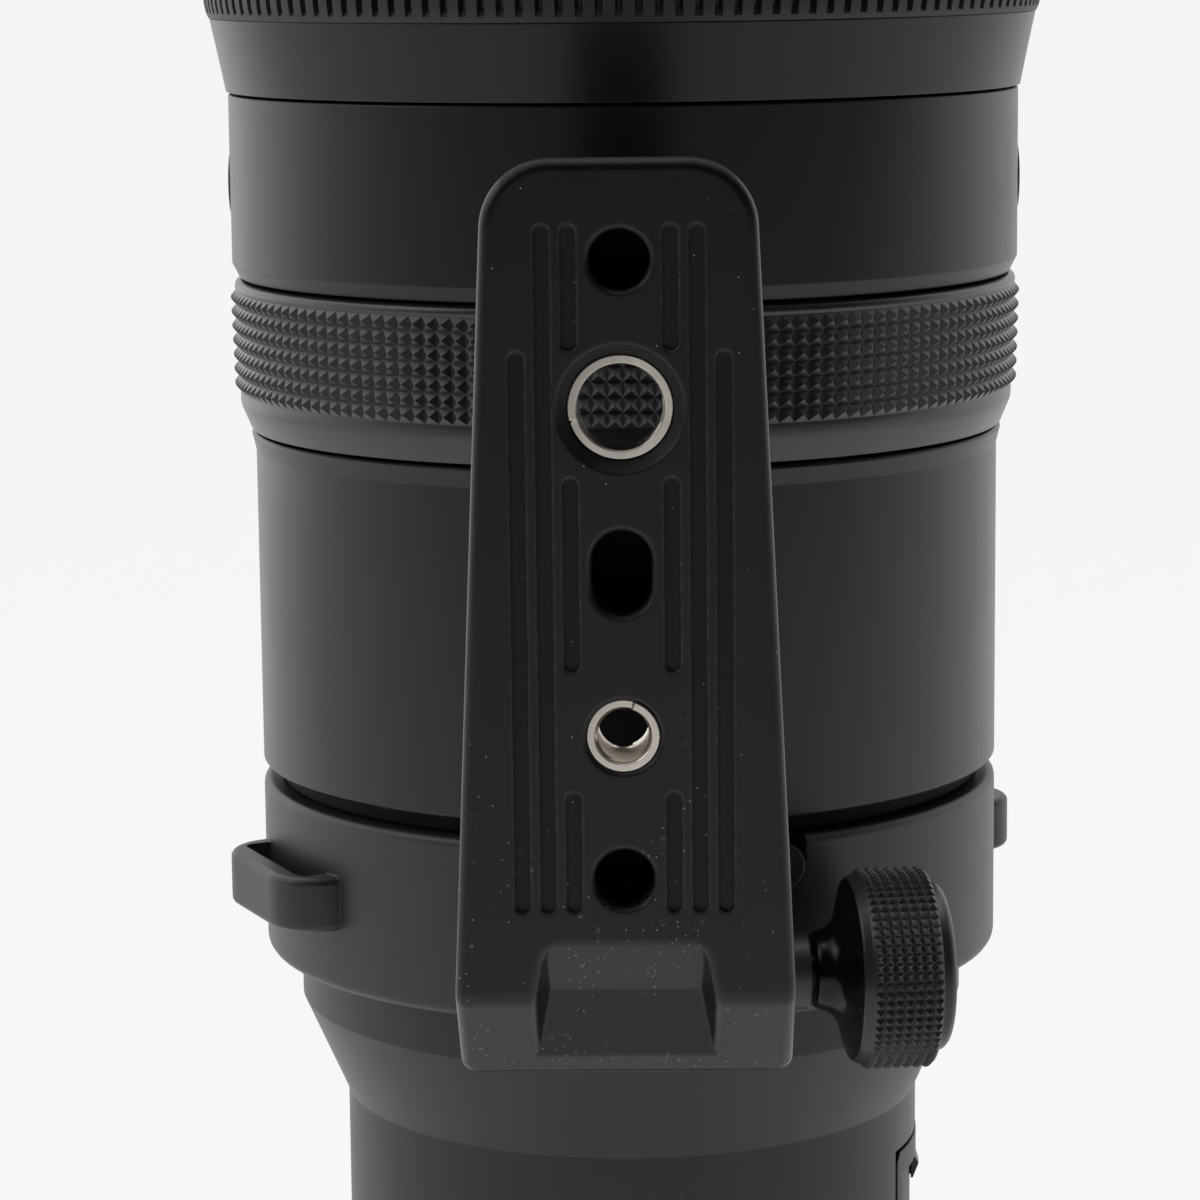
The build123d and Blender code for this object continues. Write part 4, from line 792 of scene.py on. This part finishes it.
class LENS_OT_studio(PieceOperator):
    """Pale sweep, soft lamps and the camera"""

    bl_idname = "lens.studio"
    bl_label = "Studio"

    def execute(self, context):
        studio = context.scene.lens_studio
        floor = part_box("mount_flange")[0].z
        self.sweep(studio, floor)
        soft_box("lamp_key", studio.key, side=0.9, place=(-1.3, -0.5, 1.1))
        soft_box("lamp_top", studio.top, side=1.2, place=(0.0, 0.35, 1.6))
        self.room(studio)
        self.camera(studio)
        context.scene.view_settings.view_transform = "Standard"
        return {"FINISHED"}

    def room(self, studio):
        """World that is bright behind and beside the lens, and dim behind the camera."""
        right_side, left_light, right_light = (-0.1, 0.5), (-0.85, 0.25), (-0.4, 0.7)
        behind_start, left_back, right_back = (0.0, 0.35), (0.2, 0.7), (0.4, 0.8)
        world = bpy.data.worlds.new("studio_room")
        world.use_nodes = True
        graph = Graph(world.node_tree, "Generated")
        across, along = graph.axis("X"), graph.axis("Y")
        right = across.ramp(*right_side)
        beside = along.ramp(*left_light) * (1.0 - right) + along.ramp(*right_light) * right
        behind = along.ramp(*behind_start) * studio.back
        level = studio.front + beside * (studio.room - studio.front)
        level = level + behind * two_sided(across, left_back, right_back)
        seen = graph.ray("Camera")
        strength = seen * studio.backdrop + (1.0 - seen) * level
        light = graph.node("ShaderNodeBackground", {}, {"Color": WHITE, "Strength": strength})
        graph.node("ShaderNodeOutputWorld", {}, {"Surface": light})
        bpy.context.scene.world = world

    def sweep(self, studio, floor):
        """Floor that curves up into the backdrop."""
        near_end, bend_start, bend_radius, top, half_width, bend_steps = -4.0, 0.9, 0.6, 3.2, 3.5, 12
        dim, pale, mottle_size = grey(0.86), grey(0.9), 0.4
        reflected_from, reflected_to = -0.75, -0.1
        back_from, back_to, left_back, right_back = 0.3, 1.0, (0.2, 1.0), (0.6, 1.6)
        line = [(near_end, 0.0), (bend_start, 0.0)]
        for step in range(1, bend_steps + 1):
            turn = radians(90) * step / bend_steps
            line.append((bend_start + bend_radius * sin(turn), bend_radius - bend_radius * cos(turn)))
        line.append((bend_start + bend_radius, top))
        points = [(side * half_width, y, floor + z) for y, z in line for side in (-1, 1)]
        faces = [(2 * n, 2 * n + 1, 2 * n + 3, 2 * n + 2) for n in range(len(line) - 1)]
        mesh = bpy.data.meshes.new("studio_sweep")
        mesh.from_pydata(points, [], faces)
        mesh.shade_smooth()
        sweep = bpy.data.objects.new("studio_sweep", mesh)
        bpy.context.scene.collection.objects.link(sweep)
        paint = Paint("sweep_white")
        tone = paint.mix(paint.noise(mottle_size, detail=3.0), dim, pale)
        matte = paint.node("ShaderNodeBsdfDiffuse", {}, {"Color": tone})
        across, along = paint.axis("X"), paint.axis("Y")
        glossy = paint.ray("Glossy")
        mirrored = (glossy + paint.ray("Transmission")) * along.ramp(reflected_from, reflected_to)
        share = (paint.ray("Camera") + mirrored) * (1.0 - studio.shade)
        lift = glossy * along.ramp(back_from, back_to) * studio.back
        lift = lift * two_sided(across, left_back, right_back)
        glow = paint.node("ShaderNodeEmission", {},
                          {"Color": WHITE, "Strength": (1.0 + lift) * studio.backdrop})
        both = paint.node("ShaderNodeMixShader", {}, {0: share, 1: matte, 2: glow})
        paint.node("ShaderNodeOutputMaterial", {}, {"Surface": both})
        mesh.materials.append(paint.material)

    def camera(self, studio):
        """Camera fitted to the photograph's view, turned so that the foot faces it squarely."""
        pitch, roll, yaw, turn = radians(9.53), radians(-0.6), radians(-0.4), radians(0.37)
        distance, height = 521.97 * MM, 225.7 * MM
        level = Vector((cos(yaw), -sin(yaw), 0))
        ahead = Vector((sin(yaw) * cos(pitch), cos(yaw) * cos(pitch), -sin(pitch)))
        above = Vector((sin(yaw) * sin(pitch), cos(yaw) * sin(pitch), cos(pitch)))
        right = cos(roll) * level + sin(roll) * above
        upright = cos(roll) * above - sin(roll) * level
        place = Matrix((
            (right.x, upright.x, -ahead.x, 0.0),
            (right.y, upright.y, -ahead.y, -distance),
            (right.z, upright.z, -ahead.z, height),
            (0.0, 0.0, 0.0, 1.0),
        ))
        data = bpy.data.cameras.new("photo_camera")
        data.lens, data.sensor_width, data.sensor_fit = studio.lens, 36.0, "HORIZONTAL"
        data.clip_start, data.clip_end = 0.01, 20.0
        camera = bpy.data.objects.new("photo_camera", data)
        camera.matrix_world = Matrix.Rotation(turn, 4, "Z") @ place
        bpy.context.scene.collection.objects.link(camera)
        bpy.context.scene.camera = camera


def two_sided(across, left, right):
    """Light that grows to the left and, at a part of that strength, to the right."""
    right_strength = 0.4
    return (0.0 - across).ramp(*left) + across.ramp(*right) * right_strength


PIECES = (
    LENS_OT_focus_ring,
    LENS_OT_zoom_grip,
    LENS_OT_clamp_knob,
    LENS_OT_thread_inserts,
    LENS_OT_barrels,
    LENS_OT_tripod_foot,
    LENS_OT_mount_end,
    LENS_OT_controls,
    LENS_OT_optics,
    LENS_OT_studio,
)


class LENS_PT_panel(bpy.types.Panel):
    """Lists the groups of the lens and its colours and sizes"""

    bl_idname = "LENS_PT_panel"
    bl_label = "Zoom Lens"
    bl_space_type = "VIEW_3D"
    bl_region_type = "UI"
    bl_category = "Zoom Lens"

    def draw(self, context):
        column = self.layout.column(align=True)
        for piece in PIECES:
            column.operator(piece.bl_idname)
        for group in (context.scene.lens_finishes, context.scene.lens_sizes, context.scene.lens_studio):
            box = self.layout.box()
            for key in group.bl_rna.properties.keys():
                if key not in ("rna_type", "name"):
                    box.prop(group, key)


CLASSES = (LensFinishes, LensSizes, LensStudio, *PIECES, LENS_PT_panel)


def register():
    for cls in CLASSES:
        bpy.utils.register_class(cls)
    bpy.types.Scene.lens_finishes = PointerProperty(type=LensFinishes)
    bpy.types.Scene.lens_sizes = PointerProperty(type=LensSizes)
    bpy.types.Scene.lens_studio = PointerProperty(type=LensStudio)


def unregister():
    del bpy.types.Scene.lens_studio
    del bpy.types.Scene.lens_sizes
    del bpy.types.Scene.lens_finishes
    for cls in reversed(CLASSES):
        bpy.utils.unregister_class(cls)


def main():
    register()
    for piece in PIECES:
        group, name = piece.bl_idname.split(".")
        getattr(getattr(bpy.ops, group), name)()


if __name__ == "__main__":
    main()
